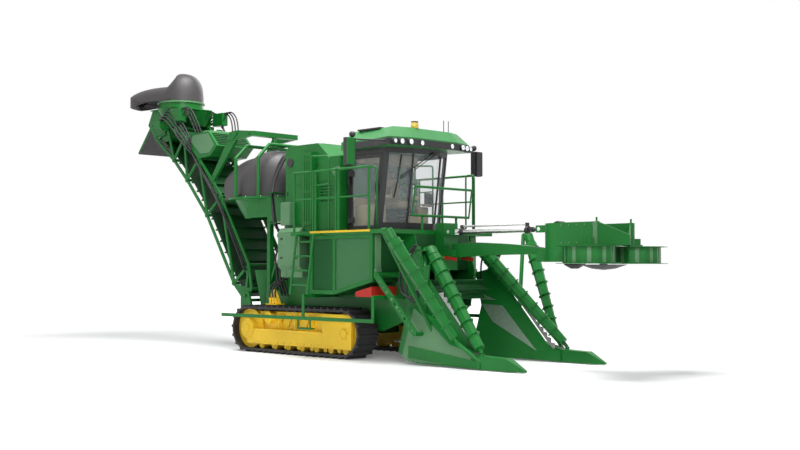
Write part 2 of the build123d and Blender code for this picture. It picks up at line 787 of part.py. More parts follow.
def cab_section(height, lean, inset):
    """Plan outline of the cab at one height, drawn in by an inset."""
    with BuildSketch(Plane.XY.offset(height)) as plan:
        with BuildLine():
            Polyline(
                (cab_rear_x, -cab_half_width), (cab_front_x + lean, -cab_half_width),
                (cab_front_x + lean + cab_bow, -cab_bow_half_width),
                (cab_front_x + lean + cab_bow, cab_bow_half_width),
                (cab_front_x + lean, cab_half_width), (cab_rear_x, cab_half_width), close=True,
            )
        make_face()
        if inset > 0:
            offset(amount=-inset, kind=Kind.INTERSECTION)
    return plan.sketch


def cab_solid(inset, z_low, z_high, mode=Mode.ADD):
    """Leaning solid with the cab's outline, drawn in by an inset."""
    low = cab_section(z_low, cab_front_lean * (z_low - cab_z) / cab_height, inset)
    high = cab_section(z_high, cab_front_lean * (z_high - cab_z) / cab_height, inset)
    loft(sections=[low, high], ruled=True, mode=mode)


window_low_z = cab_z + cab_sill
window_top_z = cab_top_z - cab_header


def window_x(height):
    """Front edge of the side windows, which follows the leaning pillar."""
    return cab_front_x - cab_pillar + cab_front_lean * (height - cab_z) / cab_height


def side_window(gap, low_z):
    """Side window or door outline, drawn in by a gap."""
    return [
        (cab_rear_x + cab_pillar + gap, low_z + gap),
        (window_x(low_z + gap) - gap, low_z + gap),
        (window_x(window_top_z - gap) - gap, window_top_z - gap),
        (cab_rear_x + cab_pillar + gap, window_top_z - gap),
    ]


def front_window(gap):
    """Front window outline, drawn in by a gap."""
    half = cab_half_width - cab_pillar - gap
    return [(-half, window_low_z + gap), (half, window_low_z + gap),
            (half, window_top_z - gap), (-half, window_top_z - gap)]


door_low_z = cab_z + cab_floor
door_hinge_x = cab_rear_x + cab_pillar - hinge_pin_radius
door_hinge_y = -cab_half_width - 2 * hinge_pin_radius
door_hinge_heights = (door_low_z + door_hinge_offset, window_top_z - 3 * door_hinge_offset)
with BuildPart() as cab_shell:
    cab_solid(0, cab_z, cab_top_z)
    cab_solid(cab_wall, cab_z + cab_floor, cab_top_z + overrun, mode=Mode.SUBTRACT)
    side_profile(side_window(0, window_low_z), 0, cab_half_width + overrun, mode=Mode.SUBTRACT)
    side_profile(side_window(0, door_low_z), -cab_half_width - overrun, 0, mode=Mode.SUBTRACT)
    front_profile(front_window(0), cab_front_x, cab_front_x + 2 * cab_bow + cab_front_lean,
                  mode=Mode.SUBTRACT)
    front_profile(front_window(0), cab_rear_x - overrun, cab_rear_x + cab_wall, mode=Mode.SUBTRACT)
    for hinge_z in door_hinge_heights:
        rod((door_hinge_x, door_hinge_y, hinge_z - hinge_length / 3), (door_hinge_x, door_hinge_y, hinge_z +
            hinge_length), hinge_pin_radius)
        block(cab_rear_x + cab_wall, door_hinge_x + hinge_pin_radius, door_hinge_y - hinge_pin_radius,
              -cab_half_width + cab_wall / 2, hinge_z - hinge_length / 3, hinge_z)
finish(cab_shell, "cab_shell")

glass_outset = glass_inset + glass_thickness
with BuildPart() as window_space:
    front_profile(front_window(seat_gap), cab_front_x, cab_front_x + 2 * cab_bow + cab_front_lean)
    front_profile(front_window(seat_gap), cab_rear_x - overrun, cab_rear_x + cab_wall)
    side_profile(side_window(seat_gap, window_low_z), cab_bow_half_width, cab_half_width + overrun)

with BuildPart() as cab_glass:
    cab_solid(glass_inset, window_low_z, window_top_z)
    cab_solid(glass_outset, window_low_z - overrun, window_top_z + overrun, mode=Mode.SUBTRACT)
    add(window_space.part, mode=Mode.INTERSECT)
finish(cab_glass, "cab_glass")

with BuildPart() as cab_door:
    side_profile(side_window(swing_gap, door_low_z), -cab_half_width, -cab_half_width + cab_wall - glass_inset)
    inset_low = door_low_z + cab_pillar
    side_profile(side_window(swing_gap + cab_pillar, door_low_z), -cab_half_width - overrun, 0,
                 mode=Mode.SUBTRACT)
    for hinge_z in door_hinge_heights:
        low_z = hinge_z + running_gap
        rod((door_hinge_x, door_hinge_y, low_z), (door_hinge_x, door_hinge_y, low_z + hinge_length),
            2 * hinge_pin_radius - running_gap)
        block(door_hinge_x, door_hinge_x + 2 * cab_pillar, door_hinge_y - hinge_pin_radius,
              -cab_half_width - running_gap, low_z, low_z + hinge_length)
        block(door_hinge_x + cab_pillar, door_hinge_x + 2 * cab_pillar, door_hinge_y - hinge_pin_radius,
              -cab_half_width + sheet, low_z, low_z + hinge_length)
        rod((door_hinge_x, door_hinge_y, low_z - overrun), (door_hinge_x, door_hinge_y, low_z + hinge_length +
            overrun), hinge_pin_radius + running_gap, mode=Mode.SUBTRACT)
finish(cab_door, "cab_door")

with BuildPart() as door_glass:
    side_profile(side_window(swing_gap + cab_pillar + seat_gap, door_low_z),
                 -cab_half_width + glass_inset / 2, -cab_half_width + glass_inset / 2 + glass_thickness)
finish(door_glass, "door_glass")

roof_z = cab_top_z + seat_gap
roof_corner_share = 0.90
roof_nose_share = 0.55
roof_side_shares = [(0.0, -0.86), (0.62, -0.90), (roof_corner_share, -1.0), (1.0, -roof_nose_share),
                    (1.0, roof_nose_share), (roof_corner_share, 1.0), (0.62, 0.90), (0.0, 0.86)]
roof_length = roof_front_x - roof_rear_x


def roof_section(height, inset):
    """Plan outline of the roof at one height, drawn in by an inset."""
    with BuildSketch(Plane.XY.offset(height)) as plan:
        with BuildLine():
            Polyline(*[(roof_rear_x + roof_length * across, roof_half_width * aside)
                       for across, aside in roof_side_shares], close=True)
        make_face()
        if inset:
            offset(amount=-inset, kind=Kind.INTERSECTION)
    return plan.sketch


with BuildPart() as cab_roof:
    loft(sections=[roof_section(roof_z, 0), roof_section(roof_z + roof_edge_height, 0)], ruled=True)
    loft(sections=[roof_section(roof_z + roof_edge_height, 0),
                   roof_section(roof_z + roof_height, roof_crown_inset)], ruled=True)
finish(cab_roof, "cab_roof")

# Black visor band round the front of the roof with its lamps, the beacon and two aerials
visor_z = roof_z + sheet
with BuildPart() as roof_visor:
    extrude(roof_section(visor_z, -visor_depth), amount=visor_height)
    block(roof_rear_x - overrun, visor_rear_x, -roof_half_width - overrun, roof_half_width + overrun,
          visor_z - overrun, visor_z + visor_height + overrun, mode=Mode.SUBTRACT)
    for lamp_y in lamp_places:
        lamp_share = (abs(lamp_y) / roof_half_width - roof_nose_share) / (1 - roof_nose_share)
        lamp_x = roof_front_x - lamp_share * (1 - roof_corner_share) * roof_length
        rod((lamp_x - lamp_radius, lamp_y, visor_z + visor_height / 2),
            (lamp_x + lamp_length, lamp_y, visor_z + visor_height / 2), lamp_radius)
    extrude(roof_section(visor_z, -seat_gap), amount=roof_height, mode=Mode.SUBTRACT)
    rod((beacon_x, beacon_y, roof_z + roof_height / 2), (beacon_x, beacon_y, roof_z + roof_height
        + beacon_height), beacon_radius)
    for antenna_y in antenna_places:
        rod((antenna_x, antenna_y, roof_z + roof_height / 2), (antenna_x, antenna_y, antenna_top_z), antenna_radius)
    add(cab_roof.part, mode=Mode.SUBTRACT)
finish(roof_visor, "roof_visor")

with BuildPart() as cab_interior:
    seat_z = cab_z + cab_floor + seat_gap
    block(seat_x, seat_x + seat_length, -seat_width / 2, seat_width / 2, seat_z, seat_z + seat_height)
    block(seat_x - seat_thickness, seat_x, -seat_width / 2, seat_width / 2,
          seat_z, seat_z + seat_height + seat_back_height)
    block(console_x, console_x + console_length,
          -console_width / 2, console_width / 2, seat_z, seat_z + console_height)
finish(cab_interior, "cab_interior")

with BuildPart() as mirrors:
    block(mirror_x - mirror_depth, mirror_x, -mirror_y - mirror_width / 2, -mirror_y + mirror_width / 2,
          mirror_z, mirror_z + mirror_height)
    arm_x = mirror_x - mirror_depth / 2
    arm_z = roof_z + roof_edge_height / 2
    rod((arm_x, -mirror_y, mirror_z + mirror_height - plate), (arm_x, -mirror_y, arm_z + mirror_arm_radius),
        mirror_arm_radius)
    rod((arm_x, -mirror_y, arm_z), (roof_front_x - roof_length * mirror_root_share,
        -roof_half_width * mirror_reach_share, arm_z), mirror_arm_radius)
    mirror(about=Plane.XZ)
    extrude(roof_section(roof_z, -visor_depth - seat_gap), amount=roof_height, mode=Mode.SUBTRACT)
finish(mirrors, "mirrors")

# Extractor chamber over the rear of the frame, with the bar and boss that carry its fan
chamber_z = tower_top_z + seat_gap
chamber_top_z = hood_base_z - seat_gap
fan_boss_top_z = chamber_top_z - fan_boss_drop
with BuildPart() as extractor_chamber:
    turned([(0, chamber_z), (chamber_low_radius, chamber_z), (extractor_radius, chamber_top_z),
            (0, chamber_top_z)], extractor_x)
    block(extractor_x, tower_front_x, -side_outer_y, side_outer_y, chamber_z, chamber_top_z)
    turned([(0, chamber_z - overrun), (chamber_low_radius - chamber_wall, chamber_z - overrun),
            (chamber_low_radius - chamber_wall, chamber_z),
            (extractor_radius - chamber_wall, chamber_top_z),
            (extractor_radius - chamber_wall, chamber_top_z + overrun), (0, chamber_top_z + overrun)],
           extractor_x, mode=Mode.SUBTRACT)
    block(extractor_x, tower_front_x - chamber_wall, -side_outer_y + chamber_wall, side_outer_y - chamber_wall,
          chamber_z - overrun, chamber_top_z - chamber_wall, mode=Mode.SUBTRACT)
    block(extractor_x - fan_bar / 2, extractor_x + fan_bar / 2, -extractor_radius + fan_boss_drop,
          extractor_radius - fan_boss_drop, fan_boss_top_z - fan_bar, fan_boss_top_z)
    rod((extractor_x, 0, fan_boss_top_z), (extractor_x, 0, fan_boss_top_z + fan_bar), pin_radius)
finish(extractor_chamber, "extractor_chamber")


def fan(centre_x, low_z, radius, blade_height):
    """Bladed rotor on a hub that is bored for its pin."""
    rod((centre_x, 0, low_z), (centre_x, 0, low_z + fan_hub_height), fan_hub_radius)
    rod((centre_x, 0, low_z), (centre_x, 0, low_z + fan_bar + running_gap), pin_radius + running_gap,
        mode=Mode.SUBTRACT)
    tilt = math.radians(fan_blade_tilt)
    for blade in range(fan_blades):
        angle = blade * 2 * math.pi / fan_blades
        outward = Vector(math.cos(angle), math.sin(angle), 0)
        around = Vector(-math.sin(angle), math.cos(angle), 0)
        normal = Vector(0, 0, 1) * math.cos(tilt) + around * math.sin(tilt)
        root = Vector(centre_x, 0, low_z + fan_hub_height / 2) + outward * (fan_hub_radius - pin_radius)
        length = radius - fan_hub_radius + pin_radius
        with BuildSketch(Plane(origin=root + outward * (length / 2), x_dir=outward, z_dir=normal)) as face:
            Rectangle(length, blade_height)
        extrude(face.sketch, amount=fan_blade_thickness / 2, both=True)


with BuildPart() as primary_fan:
    fan(extractor_x, fan_boss_top_z + running_gap, fan_radius, fan_blade_width)
finish(primary_fan, "primary_fan")


dome_steps = 9
dome_power = 0.62
dome_crown_share = 0.98
spout_bend_share = -0.22
mouth_share = 0.80


def quarter(low, high, power):
    """Points of a rounded quarter turn, from the low point up to the high one."""
    turns = [math.pi / 2 * place / dome_steps for place in range(dome_steps + 1)]
    return [(high[0] + (low[0] - high[0]) * math.cos(turn) ** power,
             low[1] + (high[1] - low[1]) * math.sin(turn) ** power) for turn in turns]


def hood_sides(crown_share, neck_share, lip_high, lip_low, heel_share):
    """Side outline of a hood, as shares: round front, crown, fall to the neck, lip and mouth."""
    front = quarter((1.0, 0.0), (crown_share, 1.0), dome_power)
    steps = [place / dome_steps for place in range(1, dome_steps)]
    fall = [(crown_share + (spout_bend_share - crown_share) * step,
             neck_share + (1 - neck_share) * math.cos(math.pi * step / 2) ** 2) for step in steps]
    lip = quarter((-1.0, lip_high), (spout_bend_share, neck_share), 1.0)
    return front + fall + lip[::-1] + [(-1.0, lip_low), (heel_share, 0.0)]


def hood_front():
    """Front outline of a hood, as shares."""
    right = quarter((-1.0, 0.0), (0.0, dome_crown_share), dome_power)
    left = [(-aside, up) for aside, up in right[-2::-1]]
    return [(-1.0, -spout_skirt_share)] + right + left + [(1.0, -spout_skirt_share)]


def view_prism(points, plane, half_length, inset):
    """Outline drawn in by an inset and run both ways from its plane, kept apart."""
    with BuildSketch(plane) as view:
        with BuildLine():
            Polyline(*points, close=True)
        make_face()
        if inset > 0:
            offset(amount=-inset, kind=Kind.INTERSECTION)
    return extrude(view.sketch, amount=half_length, both=True, mode=Mode.PRIVATE)


def hood_shape(centre_x, base_z, radius, height, reach, half_width, inset, sides, mode=Mode.ADD):
    """Domed hood with a spout to the rear: side, plan and front outlines that cut each other."""
    side = [(centre_x + across * (radius if across > 0 else reach), base_z + up * height) for across, up in sides]
    front = [(aside * (radius + hood_wall), base_z + up * height) for aside, up in hood_front()]
    body = view_prism(side, Plane(origin=(0, 0, 0), x_dir=(1, 0, 0), z_dir=(0, -1, 0)), 2 * radius, inset)
    tunnel = view_prism(front, Plane(origin=(centre_x, 0, 0), x_dir=(0, 1, 0), z_dir=(1, 0, 0)), 2 * reach, inset)
    with BuildSketch(Plane.XY.offset(base_z - overrun)) as plan:
        with Locations((centre_x, 0)):
            Circle(radius - inset)
        with BuildLine():
            Polyline((centre_x, -radius + inset), (centre_x - reach + inset, -half_width + inset),
                     (centre_x - reach + inset, half_width - inset), (centre_x, radius - inset), close=True)
        make_face()
    column = extrude(plan.sketch, amount=height + 2 * overrun, mode=Mode.PRIVATE)
    add(column & tunnel & body, mode=mode)


primary_sides = hood_sides(0.20, 0.90, 0.36, 0.27, -0.77)
with BuildPart() as primary_hood:
    hood_z = hood_base_z + hood_ring_height + seat_gap
    hood_shape(extractor_x, hood_z, extractor_radius, hood_height, hood_reach, hood_spout_half_width,
               0, primary_sides)
    hood_shape(extractor_x, hood_z, extractor_radius, hood_height, hood_reach, hood_spout_half_width,
               hood_wall, primary_sides, mode=Mode.SUBTRACT)
    rod((extractor_x, 0, hood_z - overrun), (extractor_x, 0, hood_z + 2 * hood_wall),
        extractor_radius - 2 * hood_wall, mode=Mode.SUBTRACT)
    block(extractor_x - hood_reach - overrun, extractor_x - mouth_share * hood_reach,
          -hood_spout_half_width + 2 * hood_wall, hood_spout_half_width - 2 * hood_wall,
          hood_z - overrun, hood_z + primary_sides[-2][1] * hood_height + hood_wall, mode=Mode.SUBTRACT)
finish(primary_hood, "primary_hood")

# Ring and tube hoops that carry the hood, and the pivot for the elevator's arch
hoop_reach = extractor_radius + hoop_clearance
hoop_top_z = hood_z + hood_height + hoop_clearance
with BuildPart() as hood_frame:
    turned([(extractor_radius - chamber_wall, hood_base_z), (hoop_reach + 2 * hoop_radius, hood_base_z),
            (hoop_reach + 2 * hoop_radius, hood_base_z + hood_ring_height),
            (extractor_radius - chamber_wall, hood_base_z + hood_ring_height)], extractor_x)
    for hoop_x in hoop_places:
        foot_y = math.sqrt(hoop_reach ** 2 - hoop_x ** 2)
        pipe([(extractor_x + hoop_x, -foot_y, hood_base_z + hood_ring_height / 2),
              (extractor_x + hoop_x, -foot_y, hoop_top_z - hoop_shoulder),
              (extractor_x + hoop_x, -foot_y + hoop_shoulder, hoop_top_z),
              (extractor_x + hoop_x, foot_y - hoop_shoulder, hoop_top_z),
              (extractor_x + hoop_x, foot_y, hoop_top_z - hoop_shoulder),
              (extractor_x + hoop_x, foot_y, hood_base_z + hood_ring_height / 2)], hoop_radius)
    rod((extractor_x + hoop_places[0], 0, hoop_top_z), (extractor_x + hoop_places[1], 0, hoop_top_z), pin_radius)
    rod((extractor_x, 0, hoop_top_z), (extractor_x, 0, hoop_top_z + 3 * hoop_radius), hoop_radius)
finish(hood_frame, "hood_frame")

# Turntable with its bowl
table_z = slew_arm_top_z + running_gap
with BuildPart() as elevator_turntable:
    block(extractor_x - turntable_rear_reach, extractor_x + turntable_front_reach,
          -turntable_half_width, turntable_half_width, table_z, table_z + turntable_thickness)
    for side in (-1, 1):
        low_y = min(side * turntable_half_width, side * (elevator_half_width + running_gap * 2))
        high_y = max(side * turntable_half_width, side * (elevator_half_width + running_gap * 2))
        side_profile([(extractor_x - turntable_rear_reach, table_z),
                      (extractor_x, table_z),
                      (elevator_pivot_x + 3 * pin_radius, elevator_pivot_z + 3 * pin_radius),
                      (elevator_pivot_x - 3 * pin_radius, elevator_pivot_z + 3 * pin_radius),
                      (extractor_x - turntable_rear_reach, elevator_pivot_z)], low_y, high_y)
    rod((elevator_pivot_x, -turntable_half_width - overrun, elevator_pivot_z),
        (elevator_pivot_x, turntable_half_width + overrun, elevator_pivot_z), pin_radius + running_gap,
        mode=Mode.SUBTRACT)
    rod((extractor_x, 0, table_z - overrun), (extractor_x, 0, table_z + overrun + turntable_thickness),
        slew_pin_radius + running_gap, mode=Mode.SUBTRACT)
finish(elevator_turntable, "elevator_turntable")

bowl_z = table_z + turntable_thickness + seat_gap
with BuildPart() as elevator_bowl:
    turned([(bowl_radius * 0.62, bowl_z), (bowl_radius, bowl_top_z),
            (bowl_radius - plate, bowl_top_z), (bowl_radius * 0.62 - plate, bowl_z)], extractor_x)
    block(extractor_x - bowl_radius - overrun, extractor_x + plate, -bowl_radius - overrun,
          bowl_radius + overrun, bowl_z - overrun, bowl_top_z + overrun, mode=Mode.SUBTRACT)
finish(elevator_bowl, "elevator_bowl")

# Elevator truss: lower and upper chords with posts and braces on each side
foot_depth_share = 0.5
lower_shares = [(0.0, 0.0), (0.115, 0.096), (0.402, 0.497), (0.625, 0.718), (0.777, 0.849), (1.0, 1.0)]


def elevator_point(share):
    """Point of the lower chord, from its shares of reach and rise."""
    return Vector(elevator_foot_x - share[0] * elevator_reach, elevator_foot_z + share[1] * elevator_rise)


def chord_pair(place):
    """Lower point, and upper point square to the chord's mean direction there."""
    here = elevator_point(lower_shares[place])
    before = elevator_point(lower_shares[max(place - 1, 0)])
    after = elevator_point(lower_shares[min(place + 1, len(lower_shares) - 1)])
    along = (after - before).normalized()
    depth = elevator_depth * (foot_depth_share if place == 0 else 1)
    return here, here + Vector(along.Y, -along.X) * depth


chords = [chord_pair(place) for place in range(len(lower_shares))]
with BuildPart() as elevator_frame:
    for side in (-1, 1):
        low_y = min(side * elevator_half_width, side * (elevator_half_width - elevator_side))
        high_y = max(side * elevator_half_width, side * (elevator_half_width - elevator_side))
        for place in range(len(chords) - 1):
            low_here, high_here = chords[place]
            low_next, high_next = chords[place + 1]
            for start, end in ((low_here, low_next), (high_here, high_next), (low_here, high_next),
                               (high_next, low_next)):
                side_bar((start.X, start.Y), (end.X, end.Y), elevator_bar, low_y, high_y)
        side_bar((chords[0][0].X, chords[0][0].Y), (chords[0][1].X, chords[0][1].Y), elevator_bar, low_y, high_y)
        rod((elevator_pivot_x, side * (turntable_half_width + pin_radius), elevator_pivot_z),
            (elevator_pivot_x, side * (elevator_half_width - elevator_side), elevator_pivot_z), pin_radius)
        side_profile([(elevator_pivot_x - 3 * pin_radius, elevator_pivot_z - 3 * pin_radius),
                      (elevator_pivot_x + 3 * pin_radius, elevator_pivot_z - pin_radius),
                      (chords[0][1].X, chords[0][1].Y),
                      (chords[1][0].X, chords[1][0].Y)], low_y, high_y)
    for low, high in chords:
        for point in (low, high):
            rod((point.X, -elevator_half_width + elevator_side / 2, point.Y),
                (point.X, elevator_half_width - elevator_side / 2, point.Y), elevator_bar / 2)
    side_profile([(cover_rear_x, cover_top_z - 2 * elevator_bar), (cover_rear_x + 3 * elevator_bar, cover_top_z),
                  (cover_front_x - 5 * elevator_bar, cover_top_z),
                  (cover_front_x, (cover_top_z + cover_low_z) / 2 - elevator_bar),
                  (cover_front_x - 4 * elevator_bar, cover_low_z), (chords[3][1].X, chords[3][1].Y),
                  (chords[4][1].X, chords[4][1].Y)], -elevator_half_width, elevator_half_width)
    head_along = (chords[-2][0] - chords[-1][0]).normalized()
    drum_radius = elevator_depth / 2 - elevator_bar / 2 - swing_gap - chain_slat_height - chain_band - seat_gap
    drum = (chords[-1][0] + chords[-1][1]) * 0.5 + head_along * (drum_radius + elevator_bar + chain_band)
    rod((drum.X, -elevator_half_width + elevator_side + swing_gap, drum.Y),
        (drum.X, elevator_half_width - elevator_side - swing_gap, drum.Y), drum_radius)
    rod((drum.X, -elevator_half_width + elevator_side / 2, drum.Y),
        (drum.X, elevator_half_width - elevator_side / 2, drum.Y), elevator_bar / 2)
    for side in (-1, 1):
        low_y = min(side * elevator_half_width, side * (elevator_half_width - elevator_side))
        side_bar((chords[-1][0].X, chords[-1][0].Y), (chords[-1][1].X, chords[-1][1].Y), elevator_bar, low_y,
                 low_y + elevator_side)
        side_bar((chords[-1][0].X, chords[-1][0].Y), (drum.X, drum.Y), elevator_bar, low_y, low_y + elevator_side)
finish(elevator_frame, "elevator_frame")

# Slat chain: one closed loop through the truss, round a drum at its head
loop_half = elevator_half_width - elevator_side - swing_gap
loop_outer = elevator_bar / 2 + swing_gap + chain_slat_height
loop_inner = loop_outer + chain_band


def chain_outline(inset):
    """Closed outline between the chords, drawn in from each by an inset."""
    lower = []
    upper = []
    for low, high in chords:
        square = (high - low).normalized()
        lower.append(low + square * inset)
        upper.append(high - square * inset)
    return [(point.X, point.Y) for point in lower + upper[::-1]]


with BuildPart() as elevator_chain:
    side_profile(chain_outline(loop_outer), -loop_half, loop_half)
    side_profile(chain_outline(loop_inner), -loop_half - overrun, loop_half + overrun, mode=Mode.SUBTRACT)
    outline = [Vector(*point) for point in chain_outline(loop_outer)]
    for run in (outline[:len(chords)], outline[len(chords):]):
        for start, end in zip(run[:-1], run[1:]):
            count = max(1, int((end - start).length // chain_slat_pitch))
            step = (end - start) / count
            outward = Vector(-step.Y, step.X).normalized() * chain_slat_height
            for place in range(count):
                foot = start + step * (place + 1 / 2)
                top = foot + outward
                side_bar((foot.X, foot.Y), (top.X, top.Y), chain_band, -loop_half, loop_half)
finish(elevator_chain, "elevator_chain")

# Elevator head: bin flap, secondary extractor and its hood
with BuildPart() as secondary_barrel:
    head_low, head_high = chords[-1]
    neck = (chords[-2][1] + head_high) * 0.5
    for side in (-1, 1):
        inner = elevator_half_width + seat_gap
        low_y = min(side * inner, side * (inner + 2 * sheet))
        high_y = max(side * inner, side * (inner + 2 * sheet))
        side_profile([(head_low.X, head_low.Y), (flap_hinge_x - elevator_bar, flap_hinge_z),
                      (flap_hinge_x + 2 * elevator_bar, secondary_base_z),
                      (secondary_x + secondary_radius, secondary_base_z), (neck.X, neck.Y)], low_y, high_y)
        rod((flap_hinge_x, min(side * (inner + sheet), side * (inner - hinge_length)), flap_hinge_z),
            (flap_hinge_x, max(side * (inner + sheet), side * (inner - hinge_length)), flap_hinge_z),
            hinge_pin_radius)
    turned([(0, secondary_base_z - plate), (secondary_radius, secondary_base_z - plate),
            (secondary_radius, secondary_ring_z), (0, secondary_ring_z)], secondary_x)
    block(secondary_x - secondary_radius, secondary_x + secondary_radius, -inner - 2 * sheet, inner + 2 * sheet,
          secondary_base_z - plate, secondary_base_z)
    rod((secondary_x, 0, secondary_base_z - overrun), (secondary_x, 0, secondary_ring_z + overrun),
        secondary_radius - chamber_wall, mode=Mode.SUBTRACT)
    block(secondary_x - fan_bar / 2, secondary_x + fan_bar / 2, -secondary_radius + chamber_wall / 2,
          secondary_radius - chamber_wall / 2, secondary_base_z, secondary_base_z + fan_bar)
    rod((secondary_x, 0, secondary_base_z), (secondary_x, 0, secondary_base_z + 2 * fan_bar), pin_radius)
finish(secondary_barrel, "secondary_barrel")

with BuildPart() as secondary_fan:
    fan(secondary_x, secondary_base_z + fan_bar + running_gap, secondary_fan_radius, fan_blade_width / 2)
finish(secondary_fan, "secondary_fan")

secondary_sides = hood_sides(0.10, 0.52, 0.16, -0.06, -0.46)
with BuildPart() as secondary_draft:
    hood_shape(secondary_x, secondary_ring_z + seat_gap, secondary_radius, secondary_hood_height,
               secondary_hood_reach, secondary_spout_half_width, 0, secondary_sides)
    hood_shape(secondary_x, secondary_ring_z + seat_gap, secondary_radius, secondary_hood_height,
               secondary_hood_reach, secondary_spout_half_width, hood_wall, secondary_sides, mode=Mode.SUBTRACT)
    rod((secondary_x, 0, secondary_ring_z - overrun), (secondary_x, 0, secondary_ring_z + 2 * hood_wall),
        secondary_radius - 2 * hood_wall, mode=Mode.SUBTRACT)
    block(secondary_x - secondary_hood_reach + hood_wall, secondary_x - secondary_radius,
          -secondary_spout_half_width + 2 * hood_wall, secondary_spout_half_width - 2 * hood_wall,
          secondary_ring_z - secondary_hood_height, secondary_ring_z + 2 * hood_wall, mode=Mode.SUBTRACT)

with BuildPart() as secondary_hood:
    add(secondary_draft.part.rotate(Axis((secondary_x, 0, 0), (0, 0, 1)), secondary_hood_turn))
finish(secondary_hood, "secondary_hood")

with BuildPart() as bin_flap:
    flap_half = elevator_half_width - elevator_side - swing_gap
    side_bar((flap_hinge_x, flap_hinge_z), (flap_tip_x, flap_tip_z), sheet * 2, -flap_half, flap_half)
    rod((flap_hinge_x, -flap_half, flap_hinge_z), (flap_hinge_x, flap_half, flap_hinge_z), 2 * hinge_pin_radius)
    rod((flap_hinge_x, -flap_half, flap_hinge_z), (flap_hinge_x, flap_half, flap_hinge_z),
        hinge_pin_radius + running_gap, mode=Mode.SUBTRACT)
finish(bin_flap, "bin_flap")

# Arch that swings with the elevator about the pivot over the hood
arch_x = extractor_x
arch_low_z = hoop_top_z + pin_radius + running_gap
with BuildPart() as slew_arch:
    rod((arch_x, 0, arch_low_z), (arch_x, 0, arch_top_z), arch_bar / 2)
    rod((arch_x, 0, arch_low_z - overrun), (arch_x, 0, hoop_top_z + 3 * hoop_radius + running_gap),
        hoop_radius + running_gap, mode=Mode.SUBTRACT)
    block(arch_x - arch_bar, arch_x + arch_bar / 2, -arch_half_width, arch_half_width,
          arch_top_z - arch_bar, arch_top_z)
    for side in (-1, 1):
        low_y = min(side * arch_half_width, side * (arch_half_width - elevator_bar))
        high_y = max(side * arch_half_width, side * (arch_half_width - elevator_bar))
        side_profile([(arch_x, arch_top_z - arch_bar), (arch_x, arch_top_z), (arch_bend_x + arch_bar, arch_bend_z),
                      (arch_bend_x - arch_bar, arch_bend_z), (arch_foot_x - arch_bar / 2, arch_foot_z),
                      (arch_foot_x + arch_bar / 2, arch_foot_z - arch_bar / 2),
                      (arch_bend_x + arch_bar / 2, arch_bend_z - 2 * arch_bar)], low_y, high_y)
finish(slew_arch, "slew_arch")

# Topper: mast, parallel arms and the gathering head
head_x = topper_pivot_x + topper_arm
link_head_x = topper_link_x + topper_arm
mast_x = bulkhead_x + plate + seat_gap
with BuildPart() as topper_mast:
    block(mast_x, topper_link_x - 3 * pin_radius, -topper_mast_half_width, topper_mast_half_width,
          bulkhead_low_z, topper_link_z + 5 * pin_radius)
    for side in (-1, 1):
        inner = topper_beam_width / 2 + running_gap
        low_y = min(side * inner, side * topper_mast_half_width)
        high_y = max(side * inner, side * topper_mast_half_width)
        for ear_x, ear_z in ((topper_pivot_x, topper_pivot_z), (topper_link_x, topper_link_z)):
            block(topper_link_x - 4 * pin_radius, ear_x + 2 * pin_radius, low_y, high_y,
                  ear_z - 2 * pin_radius, ear_z + 2 * pin_radius)
    for ear_x, ear_z in ((topper_pivot_x, topper_pivot_z), (topper_link_x, topper_link_z)):
        rod((ear_x, -topper_mast_half_width - overrun, ear_z), (ear_x, topper_mast_half_width + overrun, ear_z),
            pin_radius + running_gap, mode=Mode.SUBTRACT)
finish(topper_mast, "topper_mast")


def cross_pins(points):
    """Pin across the mast's ears or the head's ears at each point of X and Z."""
    for point in points:
        rod((point[0], -topper_mast_half_width, point[1]), (point[0], topper_mast_half_width, point[1]), pin_radius)


topper_front = Plane(origin=(0, topper_beam_width / 2, 0), x_dir=(1, 0, 0), z_dir=(0, -1, 0))
with BuildPart() as topper_boom:
    root_x = topper_pivot_x - 1.5 * pin_radius
    tip_x = head_x + 1.5 * pin_radius
    root_top_z = topper_pivot_z + topper_beam_root * 2 / 3
    root_low_z = topper_pivot_z - topper_beam_root / 3
    tip_top_z = topper_pivot_z + topper_beam_tip / 2
    tip_low_z = topper_pivot_z - topper_beam_tip / 2
    middle_x = (root_x + tip_x) / 2
    with BuildSketch(topper_front) as beam:
        with BuildLine():
            ThreePointArc((root_x, root_top_z), (middle_x, (root_top_z + tip_top_z) / 2 + 2 * topper_beam_rise),
                          (tip_x, tip_top_z))
            Line((tip_x, tip_top_z), (tip_x, tip_low_z))
            ThreePointArc((tip_x, tip_low_z), (middle_x, (root_low_z + tip_low_z) / 2 + topper_beam_rise),
                          (root_x, root_low_z))
            Line((root_x, root_low_z), (root_x, root_top_z))
        make_face()
    extrude(beam.sketch, amount=topper_beam_width)
    cross_pins([(topper_pivot_x, topper_pivot_z), (head_x, topper_pivot_z)])
finish(topper_boom, "topper_boom")

